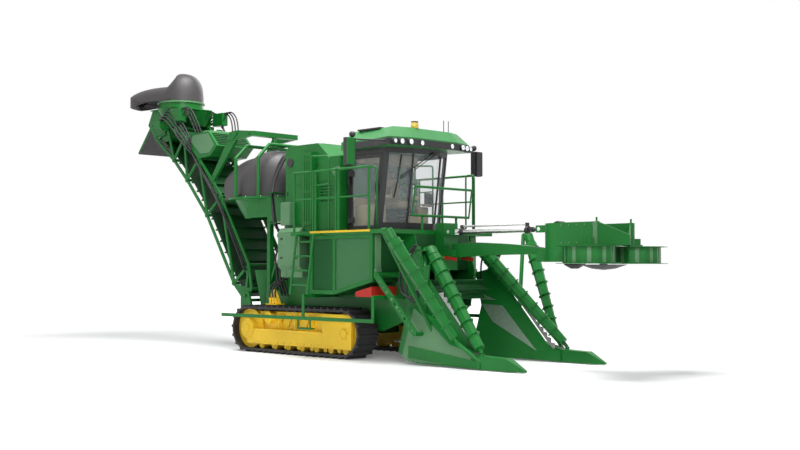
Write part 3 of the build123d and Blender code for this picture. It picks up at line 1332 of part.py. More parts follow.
with BuildPart() as topper_link:
    cylinder_x = topper_link_x + topper_cylinder_share * topper_arm
    pipe_z = topper_link_z + topper_pipe_rise
    rod((topper_link_x, 0, topper_link_z), (link_head_x, 0, topper_link_z), topper_rod_radius)
    rod((topper_link_x + 4 * pin_radius, 0, topper_link_z), (cylinder_x, 0, topper_link_z), topper_cylinder_radius)
    rod((topper_link_x + 4 * pin_radius, 0, pipe_z), (cylinder_x, 0, pipe_z), topper_pipe_radius)
    for clamp_x in (topper_link_x + 5 * pin_radius, cylinder_x - 2 * pin_radius):
        rod((clamp_x, 0, topper_link_z), (clamp_x + pin_radius, 0, topper_link_z), topper_clamp_radius)
        block(clamp_x, clamp_x + pin_radius, -topper_pipe_radius, topper_pipe_radius, topper_link_z,
              pipe_z + topper_rod_radius)
    for eye_x in (topper_link_x, link_head_x):
        block(eye_x - 1.5 * pin_radius, eye_x + 1.5 * pin_radius, -topper_beam_width / 2, topper_beam_width / 2,
              topper_link_z - 1.5 * pin_radius, topper_link_z + 1.5 * pin_radius)
    cross_pins([(topper_link_x, topper_link_z), (link_head_x, topper_link_z)])
finish(topper_link, "topper_link")

# Topper head: a curved shroud with a pointed hull over two gathering drums and a spinning bowl


def hull_plan(inset):
    """Plan of the hull: round at the rear, straight sides and a point in front, drawn in by a wall."""
    with BuildSketch(Plane.XY.offset(shroud_split_z)) as plan:
        with BuildLine():
            ThreePointArc((shroud_x, shroud_radius), (shroud_x - shroud_radius, 0), (shroud_x, -shroud_radius))
            Polyline((shroud_x, -shroud_radius), (hull_side_x, -shroud_radius), (hull_tip_x, 0),
                     (hull_side_x, shroud_radius), (shroud_x, shroud_radius))
        make_face()
        if inset > 0:
            offset(amount=-inset, kind=Kind.INTERSECTION)
    return plan.sketch


drum_deck_z = topper_drum_top_z + 2 * topper_flange
with BuildPart() as topper_head:
    extrude(hull_plan(0), amount=shroud_top_z - shroud_split_z)
    extrude(hull_plan(shroud_wall), amount=shroud_top_z - shroud_split_z, mode=Mode.SUBTRACT)
    side_profile([(hull_side_x, shroud_top_z), (hull_tip_x, hull_tip_z), (hull_tip_x + overrun, hull_tip_z),
                  (hull_tip_x + overrun, shroud_top_z + overrun), (hull_side_x, shroud_top_z + overrun)],
                 -shroud_radius, shroud_radius, mode=Mode.SUBTRACT)
    with BuildSketch(Plane.XY.offset(shroud_low_z)) as skirt:
        with Locations((shroud_x, 0)):
            Circle(shroud_radius)
            Circle(shroud_radius - shroud_wall, mode=Mode.SUBTRACT)
        with Locations((shroud_x + shroud_skirt_reach + shroud_radius, 0)):
            Rectangle(2 * shroud_radius, 3 * shroud_radius, mode=Mode.SUBTRACT)
    extrude(skirt.sketch, amount=shroud_split_z - shroud_low_z)
    for side in (-1, 1):
        inner = topper_beam_width / 2 + running_gap
        low_y = min(side * inner, side * topper_mast_half_width)
        high_y = max(side * inner, side * topper_mast_half_width)
        for ear_x, ear_z in ((head_x, topper_pivot_z), (link_head_x, topper_link_z)):
            block(ear_x - 1.8 * pin_radius, shroud_x - shroud_radius + 2 * shroud_wall, low_y, high_y,
                  ear_z - 1.8 * pin_radius, ear_z + 1.8 * pin_radius)
        side_profile([(head_x - 4 * pin_radius, shroud_low_z), (head_x - 1.8 * pin_radius, topper_pivot_z),
                      (head_x, topper_pivot_z), (shroud_x - shroud_radius + 2 * shroud_wall, topper_pivot_z),
                      (shroud_x - shroud_radius + 2 * shroud_wall, shroud_low_z)], low_y, high_y)
    for ear_x, ear_z in ((head_x, topper_pivot_z), (link_head_x, topper_link_z)):
        rod((ear_x, -topper_mast_half_width - overrun, ear_z), (ear_x, topper_mast_half_width + overrun, ear_z),
            pin_radius + running_gap, mode=Mode.SUBTRACT)
    block(shroud_x - shroud_radius + shroud_wall / 2, topper_disc_x + cone_radius, -cone_radius / 2, cone_radius / 2,
          shroud_split_z, shroud_split_z + plate)
    block(topper_drum_x - drum_motor_radius, topper_drum_x + drum_motor_radius,
          -topper_drum_y - drum_motor_radius, topper_drum_y + drum_motor_radius, drum_deck_z,
          drum_deck_z + plate)
    block(topper_disc_x, topper_drum_x, -cone_radius / 2, cone_radius / 2, drum_deck_z, shroud_split_z + plate)
    for side in (-1, 1):
        rod((topper_drum_x, side * topper_drum_y, drum_deck_z),
            (topper_drum_x, side * topper_drum_y, drum_deck_z + drum_motor_height), drum_motor_radius)
        rod((topper_drum_x, side * topper_drum_y, topper_drum_top_z + topper_flange),
            (topper_drum_x, side * topper_drum_y, drum_deck_z), 2 * pin_radius)
        rod((hull_side_x, side * shroud_radius, shroud_split_z),
            (hull_side_x, side * shroud_radius, shroud_top_z), hull_post_radius)
        rod((hull_side_x, side * shroud_radius, shroud_top_z),
            (hull_side_x, side * shroud_radius, shroud_top_z + hull_lug_rise), hull_post_radius / 3)
    rod((topper_disc_x, 0, topper_disc_low_z + topper_disc_height + running_gap),
        (topper_disc_x, 0, shroud_split_z), 2 * pin_radius)
    rod((shroud_x, 0, shroud_low_z - cone_height / 2), (shroud_x, 0, shroud_split_z), cone_tip_radius)
    turned([(0, shroud_low_z - cone_height), (cone_tip_radius, shroud_low_z - cone_height),
            (cone_radius, shroud_low_z), (cone_radius, shroud_low_z + 2 * plate), (0, shroud_low_z + 2 * plate)],
           shroud_x)
finish(topper_head, "topper_head")

with BuildPart() as topper_disc:
    disc_top_z = topper_disc_low_z + topper_disc_height
    turned([(0, topper_disc_low_z), (topper_disc_radius / 2, topper_disc_low_z + topper_disc_height / 4),
            (topper_disc_radius, disc_top_z), (0, disc_top_z)], topper_disc_x)
finish(topper_disc, "topper_disc")

for side, name in ((-1, "topper_drum_right"), (1, "topper_drum_left")):
    with BuildPart() as topper_drum:
        with BuildSketch(Plane.XY.offset(topper_drum_low_z)) as drum_plan:
            with Locations((topper_drum_x, side * topper_drum_y)):
                RegularPolygon(topper_drum_radius, topper_drum_sides)
        extrude(drum_plan.sketch, amount=topper_drum_top_z - topper_drum_low_z)
        with BuildSketch(Plane.XY.offset(topper_drum_low_z - topper_flange),
                         Plane.XY.offset(topper_drum_top_z - running_gap)) as flange_plan:
            with Locations((topper_drum_x, side * topper_drum_y)):
                RegularPolygon(topper_flange_radius, topper_drum_sides)
        extrude(flange_plan.sketch, amount=topper_flange)
    finish(topper_drum, name)

# Crop dividers: a wedge between two sheets, a toe, a skid and a link arm, with an inner and an outer scroll


def toward(start, end, distance):
    """Point beyond the start of a line, measured along it."""
    along = (Vector(*end) - Vector(*start)).normalized()
    return Vector(*start) + along * distance


def sided(point, side):
    """Point moved to one side of the machine."""
    return (point[0], side * point[1], point[2])


def sheet_between(points, side, near_y, far_y):
    """Outline of X and Z filled between two distances from the middle, on one side."""
    side_profile(points, min(side * near_y, side * far_y), max(side * near_y, side * far_y))


def toe_section(x, width, low_z, high_z, side):
    """Upright section of the divider's toe."""
    centre = (x, side * divider_y, (low_z + high_z) / 2)
    with BuildSketch(Plane(origin=centre, x_dir=(0, 1, 0), z_dir=(1, 0, 0))) as section:
        Rectangle(width, high_z - low_z)
    return section.sketch


heel_shares = [(0.0, 0.16), (0.10, 1.0), (0.31, 0.78), (0.53, 0.38), (0.81, 0.22), (0.81, 0.0), (0.17, 0.02)]
wing_shares = [(0.0, 0.09), (0.30, 0.56), (0.12, 0.92), (1.0, 1.0), (0.80, 0.14)]
divider_inner_y = divider_y - divider_width / 2
divider_outer_y = divider_y + divider_width / 2
heel_outline = spread(heel_shares, divider_heel_x, (divider_slope_x - divider_heel_x) / heel_shares[4][0],
                      divider_low_z, divider_top_z - divider_low_z)
wing_rear_x = divider_heel_x - 2 * divider_arm_depth
wing_outline = spread(wing_shares, wing_rear_x, divider_wing_x - wing_rear_x, divider_low_z,
                      divider_wing_top_z - divider_low_z)
for side, name in ((-1, "divider_right"), (1, "divider_left")):
    with BuildPart() as divider:
        sheet_between(heel_outline, side, divider_inner_y, divider_outer_y)
        sheet_between(wing_outline, side, divider_inner_y - divider_sheet, divider_inner_y + divider_sheet)
        sheet_between([(divider_heel_x + skid_height, divider_low_z + skid_height / 2),
                       (divider_heel_x + skid_height, divider_low_z + 1.5 * skid_height),
                       (divider_slope_x, divider_low_z + skid_height / 2 + skid_thickness),
                       (divider_slope_x, divider_low_z)],
                      side, divider_y, divider_outer_y + skid_thickness)
        loft(sections=[toe_section(divider_slope_x, divider_width, divider_low_z, divider_slope_z, side),
                       toe_section(divider_nose_x, divider_nose_width, divider_low_z, divider_nose_z, side),
                       toe_section(divider_tip_x, divider_tip_width, divider_low_z,
                                   divider_low_z + divider_tip_height, side)], ruled=True)
        arm_low = min(side * (divider_arm_y - divider_arm_width / 2), side * (divider_arm_y + divider_arm_width / 2))
        side_bar((divider_pivot_x, divider_pivot_z), (divider_arm_foot_x, divider_arm_foot_z), divider_arm_depth,
                 arm_low, arm_low + divider_arm_width)
        rod((divider_pivot_x, arm_low, divider_pivot_z),
            (divider_pivot_x, arm_low + divider_arm_width, divider_pivot_z), divider_arm_depth / 2)
        for hole_share, hole_radius in ((0, pin_radius + running_gap), (1 / 2, divider_arm_hole),
                                        (3 / 4, divider_arm_hole)):
            hole_x = divider_pivot_x + (divider_arm_foot_x - divider_pivot_x) * hole_share
            hole_z = divider_pivot_z + (divider_arm_foot_z - divider_pivot_z) * hole_share
            rod((hole_x, arm_low - overrun, hole_z), (hole_x, arm_low + divider_arm_width + overrun, hole_z),
                hole_radius, mode=Mode.SUBTRACT)
        rod((divider_arm_foot_x, side * divider_y, divider_arm_foot_z),
            (divider_arm_foot_x, side * (divider_arm_y + divider_arm_width / 2), divider_arm_foot_z),
            divider_carrier_radius)
        for low, top, root, foot in (
            (inner_scroll_low, inner_scroll_top,
             (divider_wing_x - divider_arm_depth, divider_inner_y, divider_wing_top_z - divider_arm_depth),
             (divider_slope_x + divider_carrier_radius, divider_y + divider_carrier_radius, divider_low_z
              + skid_height / 2)),
            (outer_scroll_low, outer_scroll_top,
             (divider_heel_x + divider_width * 4, divider_y, divider_slope_z + skid_height),
             (divider_slope_x, divider_outer_y - divider_carrier_radius, divider_low_z + skid_height / 2)),
        ):
            low_point = sided(low, side)
            top_point = sided(top, side)
            motor_low = toward(top_point, low_point, -running_gap)
            motor_top = toward(top_point, low_point, -running_gap - scroll_motor_length)
            rod(tuple(motor_low), tuple(motor_top), scroll_motor_radius)
            elbow = (motor_top.X - motor_elbow, motor_top.Y, motor_top.Z)
            rod(sided(root, side), elbow, divider_carrier_radius)
            rod(elbow, tuple(motor_top), divider_carrier_radius)
            pin_low = toward(low_point, top_point, -scroll_motor_length / 2)
            pin_top = toward(low_point, top_point, -running_gap)
            rod(tuple(pin_low), tuple(pin_top), pin_radius)
            rod(sided(foot, side), tuple(pin_low), divider_carrier_radius)
    finish(divider, name)


def scroll(low, top, low_radius, top_radius):
    """Tapered eight-sided tube with slanted bands, along a leaning axis."""
    axis = Plane(origin=low, z_dir=Vector(*top) - Vector(*low))
    length = (Vector(*top) - Vector(*low)).length
    with BuildSketch(axis) as foot:
        RegularPolygon(low_radius, scroll_sides)
    with BuildSketch(axis.offset(length)) as head:
        RegularPolygon(top_radius, scroll_sides)
    loft(sections=[foot.sketch, head.sketch], ruled=True)
    for band in range(scroll_bands):
        share = scroll_end_share * (band + 1) / scroll_bands
        radius = low_radius + (top_radius - low_radius) * share + scroll_band
        with BuildSketch(axis.offset(length * share).rotated((scroll_band_tilt, 0, 0))) as ring:
            RegularPolygon(radius, scroll_sides)
        extrude(ring.sketch, amount=scroll_band_thickness / 2, both=True)


for side, hand in ((-1, "right"), (1, "left")):
    for low, top, low_radius, top_radius, place in (
        (inner_scroll_low, inner_scroll_top, inner_scroll_low_radius, inner_scroll_top_radius, "inner"),
        (outer_scroll_low, outer_scroll_top, outer_scroll_low_radius, outer_scroll_top_radius, "outer"),
    ):
        with BuildPart() as divider_scroll:
            scroll(sided(low, side), sided(top, side), low_radius, top_radius)
        finish(divider_scroll, "scroll_" + hand + "_" + place)

# Throat: knockdown roller, feed roller and the pair of base cutters


def finned_roller(x, z):
    """Roller with straight fins and a stub shaft through each side plate."""
    inner_y = side_gap - swing_gap
    rod((x, -inner_y, z), (x, inner_y, z), roller_core_radius)
    rod((x, -side_outer_y, z), (x, side_outer_y, z), pin_radius)
    for fin in range(roller_fins):
        angle = fin * 2 * math.pi / roller_fins
        tip = roller_core_radius + roller_fin_height
        side_bar((x, z), (x + tip * math.cos(angle), z + tip * math.sin(angle)), roller_fin_width,
                 -inner_y, inner_y)


with BuildPart() as knockdown_roller:
    finned_roller(knockdown_x, knockdown_z)
finish(knockdown_roller, "knockdown_roller")

with BuildPart() as feed_roller:
    finned_roller(feed_roller_x, feed_roller_z)
finish(feed_roller, "feed_roller")

for side, name in ((-1, "base_cutter_right"), (1, "base_cutter_left")):
    with BuildPart() as base_cutter:
        cutter_y = side * base_cutter_spacing / 2
        rod((base_cutter_x, cutter_y, base_cutter_z),
            (base_cutter_x, cutter_y, base_cutter_z + cutter_disc_thickness), base_cutter_radius)
        rod((base_cutter_x, cutter_y, base_cutter_z),
            (base_cutter_x, cutter_y, cutter_box_z - running_gap), cutter_leg_radius)
        rod((base_cutter_x, cutter_y, base_cutter_z),
            (base_cutter_x, cutter_y, cutter_box_z + cutter_box_height / 2 - running_gap), pin_radius)
    finish(base_cutter, name)

# Ladders and handrails
with BuildPart() as ladders:
    for offset_x in (0, ladder_width):
        pipe([(ladder_top_x + offset_x, -deck_half_width - seat_gap, ladder_top_z),
              (ladder_top_x + offset_x, -ladder_y, ladder_top_z),
              (ladder_low_x + offset_x, -ladder_y, ladder_low_z)], rail_radius)
    for rung in range(ladder_rungs):
        share = (rung + 0.5) / ladder_rungs
        rung_x = ladder_low_x + (ladder_top_x - ladder_low_x) * share
        rung_z = ladder_low_z + (ladder_top_z - ladder_low_z) * share
        rod((rung_x, -ladder_y, rung_z), (rung_x + ladder_width, -ladder_y, rung_z), rung_radius)
    mirror(about=Plane.XZ)
finish(ladders, "ladders")

rail_z = deck_top_z + seat_gap
for side, name in ((-1, "handrails_right"), (1, "handrails_left")):
    with BuildPart() as handrails:
        for start_x, end_x in zip(rail_places[:-1], rail_places[1:]):
            first_x = start_x + 2 * rail_radius
            last_x = end_x - rail_radius
            pipe([(first_x, side * rail_y, rail_z), (first_x, side * rail_y, rail_top_z),
                  (last_x, side * rail_y, rail_top_z), (last_x, side * rail_y, rail_z)], rail_radius)
            rod((first_x, side * rail_y, rail_mid_z), (last_x, side * rail_y, rail_mid_z), rung_radius)
    finish(handrails, name)

with BuildPart() as front_rail:
    for height in (front_rail_low_z, front_rail_top_z):
        lean = front_rail_lean * (height - front_rail_low_z) / (front_rail_top_z - front_rail_low_z)
        rod((front_rail_x + lean, -front_rail_half_width, height),
            (front_rail_x + lean, front_rail_half_width, height), rail_radius)
    for side in (-1, 1):
        rod((front_rail_x - 2 * rail_radius, side * front_rail_foot_y, rail_z),
            (front_rail_x - 2 * rail_radius, side * front_rail_foot_y, front_rail_low_z + rail_radius), rail_radius)
        rod((front_rail_x, side * front_rail_half_width, front_rail_low_z),
            (front_rail_x + front_rail_lean, side * front_rail_half_width, front_rail_top_z), rung_radius)
    rod((front_rail_x - rail_radius, -front_rail_foot_y - rail_radius, front_rail_low_z),
        (front_rail_x - rail_radius, front_rail_foot_y + rail_radius, front_rail_low_z), rung_radius)
finish(front_rail, "front_rail")
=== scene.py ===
import math

import bmesh
import bpy
from mathutils import Matrix, Vector


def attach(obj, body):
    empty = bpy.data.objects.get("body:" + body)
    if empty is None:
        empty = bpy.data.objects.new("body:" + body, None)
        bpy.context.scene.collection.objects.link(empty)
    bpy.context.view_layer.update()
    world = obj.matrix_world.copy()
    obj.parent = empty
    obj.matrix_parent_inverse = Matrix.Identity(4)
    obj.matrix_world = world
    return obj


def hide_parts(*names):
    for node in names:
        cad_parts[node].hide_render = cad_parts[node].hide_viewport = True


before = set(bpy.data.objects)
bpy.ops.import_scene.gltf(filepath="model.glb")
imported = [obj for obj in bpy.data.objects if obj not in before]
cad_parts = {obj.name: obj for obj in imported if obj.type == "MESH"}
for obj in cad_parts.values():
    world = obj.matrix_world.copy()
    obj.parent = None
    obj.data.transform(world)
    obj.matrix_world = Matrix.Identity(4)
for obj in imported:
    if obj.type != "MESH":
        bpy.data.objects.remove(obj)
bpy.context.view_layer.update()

# Camera: in front of the machine's right side, at a person's chest height
CAMERA_PLACE = Vector((15.20, -13.70, 1.50))
CAMERA_AZIMUTH = math.radians(45.0)
HORIZON_RISE_PX = 45.0
FOCAL_LENGTH_PX = 1111.0
CAMERA_PITCH = math.atan(HORIZON_RISE_PX / FOCAL_LENGTH_PX)
SENSOR_WIDTH = 36.0
FOCAL_LENGTH = 50.0
CLIP_END = 200.0

# Lamps: name, place, watts and side of the square
LAMPS = (
    ("overhead", (0.5, -0.5, 13.0), 2400.0, 7.0),
    ("key", (13.0, -9.0, 8.0), 1000.0, 6.0),
    ("side", (-6.0, -14.0, 6.0), 150.0, 6.0),
    ("rim", (-9.0, 10.0, 9.0), 500.0, 7.0),
)
LAMP_AIM = Vector((0, 0, 1.5))
AMBIENT_COLOUR = (0.95, 0.98, 1.0)
AMBIENT_STRENGTH = 0.27
WHITE = (1.0, 1.0, 1.0)

# Floor: it keeps the shadow near the machine and glows plain white further out
FLOOR_SIZE = 160.0
FLOOR_COLOUR = (0.80, 0.80, 0.80)
FLOOR_ROUGHNESS = 0.9
FADE_START, FADE_END = 7.5, 15.0
GLOW_NEAR, GLOW_FAR = 0.12, 1.0

GREEN = (0.007, 0.155, 0.022)
# Lighter green: painted highlight, the light and sheen on lit faces of the green paint
GREEN_HIGHLIGHT = (0.115, 0.260, 0.125)
# Pale green: painted reflection of the white surroundings on the cab roof
GREEN_ROOF_REFLECTION = (0.045, 0.225, 0.065)
# Darker green: painted shade, for parts under and inside the machine
GREEN_SHADE = (0.005, 0.060, 0.012)
YELLOW = (0.88, 0.58, 0.030)
BLACK = (0.014, 0.014, 0.015)
RED = (0.50, 0.025, 0.015)
TRIM_BLACK = (0.016, 0.016, 0.017)

# Sides, directions and shared places, in metres
SIDES = ((-1, "right"), (1, "left"))
OUT = (0, 1, 0)
UP = (0, 0, 1)
FORWARD = (1, 0, 0)
DECK_Z = 2.165
FLOOR_OF_CAB_Z = 2.189
ROOF_Z = 3.884
LAMP_Z = 3.619
EXTRACTOR_X = -2.01
BARREL_X = -5.26
FRAME_Y = 0.664
CHEEK_Y = 0.4725
PANEL_Y = 1.2537
SPROCKET_X, IDLER_X, AXLE_Z = -1.37, 1.29, 0.43
RETURN_ROLLER_X, RETURN_ROLLER_Z = -0.7595, 0.643
TRACK_Y, SPROCKET_Y = 1.12, 1.13


def make_camera():
    data = bpy.data.cameras.new("camera")
    data.lens = FOCAL_LENGTH
    data.sensor_width = SENSOR_WIDTH
    data.sensor_fit = "HORIZONTAL"
    data.clip_end = CLIP_END
    camera = bpy.data.objects.new("camera", data)
    bpy.context.scene.collection.objects.link(camera)
    look = Vector((-math.sin(CAMERA_AZIMUTH) * math.cos(CAMERA_PITCH),
                   math.cos(CAMERA_AZIMUTH) * math.cos(CAMERA_PITCH),
                   math.sin(CAMERA_PITCH)))
    camera.location = CAMERA_PLACE
    camera.rotation_euler = look.to_track_quat("-Z", "Y").to_euler()
    bpy.context.scene.camera = camera


# Shader nodes
def add_node(tree, kind, operation=None, **values):
    """Shader node with its operation; From_Min=1 sets the input called From Min."""
    node = tree.nodes.new("ShaderNode" + kind)
    if operation:
        node.operation = operation
    for name, value in values.items():
        node.inputs[name.replace("_", " ")].default_value = value
    return node


def add_math(tree, operation, first, second):
    """Math node between two sockets, or between a socket and a number."""
    node = add_node(tree, "Math", operation)
    tree.links.new(first, node.inputs[0])
    if isinstance(second, float):
        node.inputs[1].default_value = second
    else:
        tree.links.new(second, node.inputs[1])
    return node.outputs[0]


def add_ramp(tree, value, low, high, start, end):
    """Colour ramp from low to high between two values."""
    ramp = add_node(tree, "ValToRGB")
    for element, colour, position in zip(ramp.color_ramp.elements, (low, high), (start, end)):
        element.position = position
        element.color = (*colour, 1)
    tree.links.new(value, ramp.inputs["Fac"])
    return ramp.outputs["Color"]


def backdrop_rays(tree):
    """1 for the rays that see the plain backdrop: those of the camera, of glass and of metal."""
    path = add_node(tree, "LightPath")
    seen = add_math(tree, "MAXIMUM", path.outputs["Is Camera Ray"], path.outputs["Is Transmission Ray"])
    return add_math(tree, "MAXIMUM", seen, path.outputs["Is Glossy Ray"])


def make_lights():
    world = bpy.data.worlds.new("studio")
    bpy.context.scene.world = world
    world.use_nodes = True
    tree = world.node_tree
    tree.nodes.clear()
    output = add_node(tree, "OutputWorld")
    ambient = add_node(tree, "Background", Color=(*AMBIENT_COLOUR, 1), Strength=AMBIENT_STRENGTH)
    white = add_node(tree, "Background", Color=(*WHITE, 1), Strength=1.0)
    mix = add_node(tree, "MixShader")
    tree.links.new(backdrop_rays(tree), mix.inputs["Fac"])
    tree.links.new(ambient.outputs[0], mix.inputs[1])
    tree.links.new(white.outputs[0], mix.inputs[2])
    tree.links.new(mix.outputs[0], output.inputs["Surface"])
    for name, place, power, size in LAMPS:
        lamp = bpy.data.lights.new(name, "AREA")
        lamp.energy = power
        lamp.size = size
        piece = bpy.data.objects.new(name, lamp)
        piece.location = place
        piece.rotation_euler = (LAMP_AIM - Vector(place)).to_track_quat("-Z", "Y").to_euler()
        bpy.context.scene.collection.objects.link(piece)


# Materials
def new_material(name, base, roughness, metallic=0.0, coat=0.0, specular=0.5):
    made = bpy.data.materials.new(name)
    made.use_nodes = True
    shader = made.node_tree.nodes["Principled BSDF"]
    shader.inputs["Base Color"].default_value = (*base, 1)
    shader.inputs["Roughness"].default_value = roughness
    shader.inputs["Metallic"].default_value = metallic
    shader.inputs["Coat Weight"].default_value = coat
    shader.inputs["Coat Roughness"].default_value = 0.12
    shader.inputs["Specular IOR Level"].default_value = specular
    return made, shader


def noise_value(made, scale, detail=4.0, roughness=0.55):
    tree = made.node_tree
    where = tree.nodes.get("where") or add_node(tree, "TexCoord")
    where.name = "where"
    noise = add_node(tree, "TexNoise", Scale=scale, Detail=detail, Roughness=roughness)
    tree.links.new(where.outputs["Object"], noise.inputs["Vector"])
    return noise.outputs["Fac"]


def vary_colour(made, shader, low, high, scale):
    colour = add_ramp(made.node_tree, noise_value(made, scale), low, high, 0.35, 0.68)
    made.node_tree.links.new(colour, shader.inputs["Base Color"])


def vary_roughness(made, shader, low, high, scale):
    span = add_node(made.node_tree, "MapRange", To_Min=low, To_Max=high)
    made.node_tree.links.new(noise_value(made, scale, 6.0, 0.6), span.inputs["Value"])
    made.node_tree.links.new(span.outputs["Result"], shader.inputs["Roughness"])


def bump(made, shader, scale, strength, distance=0.002):
    lift = add_node(made.node_tree, "Bump", Strength=strength, Distance=distance)
    made.node_tree.links.new(noise_value(made, scale, 3.0), lift.inputs["Height"])
    made.node_tree.links.new(lift.outputs["Normal"], shader.inputs["Normal"])


def shade(colour, share):
    return tuple(min(1.0, c * share) for c in colour)


def paint(name, colour, roughness=0.38):
    made, shader = new_material(name, colour, roughness, coat=0.06, specular=0.25)
    vary_colour(made, shader, shade(colour, 0.90), shade(colour, 1.10), 1.6)
    vary_roughness(made, shader, roughness * 0.8, roughness * 1.25, 9.0)
    bump(made, shader, 260.0, 0.05)
    return made


def plastic(name, colour, roughness, grain=420.0, spread=0.15):
    made, shader = new_material(name, colour, roughness)
    vary_colour(made, shader, shade(colour, 1 - spread), shade(colour, 1 + spread), 3.0)
    vary_roughness(made, shader, roughness * 0.85, roughness * 1.15, 14.0)
    bump(made, shader, grain, 0.12, 0.001)
    return made


def metal(name, colour, roughness):
    made, shader = new_material(name, colour, roughness, metallic=1.0)
    vary_colour(made, shader, shade(colour, 0.88), shade(colour, 1.12), 30.0)
    vary_roughness(made, shader, roughness * 0.7, roughness * 1.4, 40.0)
    bump(made, shader, 300.0, 0.06, 0.001)
    return made


def glass(name, tint, alpha):
    made, shader = new_material(name, tint, 0.03, specular=0.7)
    shader.inputs["Alpha"].default_value = alpha
    vary_roughness(made, shader, 0.02, 0.06, 4.0)
    return made


def mesh_sheet(name, colour, hole_shade, pitch, openness):
    """Punched sheet: rows of round holes painted in a darker colour, the painted shade of the space behind
    them.
    """
    made, shader = new_material(name, colour, 0.5, specular=0.15)
    tree = made.node_tree
    split = add_node(tree, "SeparateXYZ")
    tree.links.new(add_node(tree, "TexCoord").outputs["Object"], split.inputs["Vector"])
    waves = []
    for axis in ("X", "Z"):
        wave = add_node(tree, "Math", "COSINE")
        tree.links.new(add_math(tree, "MULTIPLY", split.outputs[axis], 2 * math.pi / pitch), wave.inputs[0])
        waves.append(wave.outputs[0])
    span = add_node(tree, "MapRange", From_Min=-2.0, From_Max=2.0)
    tree.links.new(add_math(tree, "ADD", *waves), span.inputs["Value"])
    pattern = add_ramp(tree, span.outputs["Result"], colour, hole_shade, 1.0 - openness, min(1.0, 1.06 - openness))
    tree.links.new(pattern, shader.inputs["Base Color"])
    return made


def glow(name, colour, strength):
    made, shader = new_material(name, colour, 0.12, coat=0.6)
    shader.inputs["Emission Color"].default_value = (*colour, 1)
    shader.inputs["Emission Strength"].default_value = strength
    vary_colour(made, shader, shade(colour, 0.85), colour, 60.0)
    return made


green = paint("green_paint", GREEN)
# Painted highlight: a lighter copy of the green for faces that catch the light
green_highlight = paint("green_painted_highlight", GREEN_HIGHLIGHT, roughness=0.5)
# Painted reflection: a paler copy of the green for the cab roof
green_roof_reflection = paint("green_roof_painted_reflection", GREEN_ROOF_REFLECTION)
# Painted shade: a darker copy of the green for parts in shadow
green_shade = paint("green_shadow_paint", GREEN_SHADE, roughness=0.5)
yellow = paint("yellow_paint", YELLOW, roughness=0.42)
black = paint("black_paint", BLACK, roughness=0.5)
red = paint("red_paint", RED)
hood_black = plastic("hood_plastic", (0.040, 0.036, 0.038), 0.5)
trim = plastic("black_trim", TRIM_BLACK, 0.5)
beige = plastic("cab_trim", (0.46, 0.35, 0.22), 0.75)
seat_cloth = plastic("seat_cloth", (0.30, 0.22, 0.14), 0.9, grain=1400.0, spread=0.25)
track_black = plastic("track_shoes", TRIM_BLACK, 0.6, grain=90.0, spread=0.3)
hose_black = plastic("hose_rubber", (0.010, 0.010, 0.011), 0.55, grain=900.0)
steel = metal("bare_steel", (0.62, 0.62, 0.62), 0.28)
worn = metal("worn_steel", (0.42, 0.42, 0.41), 0.42)
worn_green = metal("worn_green_steel", (0.36, 0.50, 0.39), 0.5)
window = glass("window_glass", (0.62, 0.68, 0.72), 0.13)
lamp_clear = glow("lamp_clear", (0.85, 0.88, 0.90), 0.25)
beacon_amber = glow("beacon_amber", (0.85, 0.55, 0.04), 0.10)
# One punched sheet in two copies: the darker is painted shade, the lighter is painted sheen
mesh_shaded = mesh_sheet("mesh_shaded", (0.014, 0.115, 0.028), (0.004, 0.040, 0.010), 0.014, 0.45)
mesh_lit_sheen = mesh_sheet("mesh_lit_sheen", (0.062, 0.205, 0.080), (0.020, 0.090, 0.030), 0.014, 0.40)

# The record's material for each look; any other look is green_paint
SLOTS = {
    yellow: "yellow_paint", beacon_amber: "yellow_paint", red: "red_paint",
    black: "black_paint", trim: "black_paint",
    hood_black: "hood_plastic", beige: "cab_trim", seat_cloth: "cab_trim", track_black: "track_rubber",
    hose_black: "track_rubber", steel: "bare_steel", worn: "bare_steel", worn_green: "bare_steel",
    lamp_clear: "window_glass",
}

# Looks of the CAD nodes; any other node is green
NODE_LOOKS = {
    track_black: ("track_right", "track_left"),
    yellow: ("track_frames", "track_wheels", "edge_stripes"),
    window: ("cab_glass", "door_glass"),
    hood_black: ("primary_hood", "secondary_hood", "bin_flap"),
    # Painted shade on the frame, fans, tanks, rollers and elevator chain
    green_shade: ("feed_train_block", "elevator_chain", "primary_fan", "secondary_fan", "side_tanks",
                 "main_frame", "knockdown_roller", "feed_roller"),
    # Painted highlight on the valve boxes
    green_highlight: ("valve_boxes",),
    # Painted reflection on the cab roof
    green_roof_reflection: ("cab_roof",),
    beige: ("cab_interior",),
    black: ("topper_disc",),
    trim: ("cab_door", "cab_shell", "mirrors", "roof_visor"),
    worn: ("base_cutter_right", "base_cutter_left"),
    red: ("supply_box",),
    steel: ("topper_link",),
}


def dress_nodes():
    look_of = {name: look for look, names in NODE_LOOKS.items() for name in names}
    for name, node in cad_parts.items():
        node.data.materials.clear()
        node.data.materials.append(look_of.get(name, green))


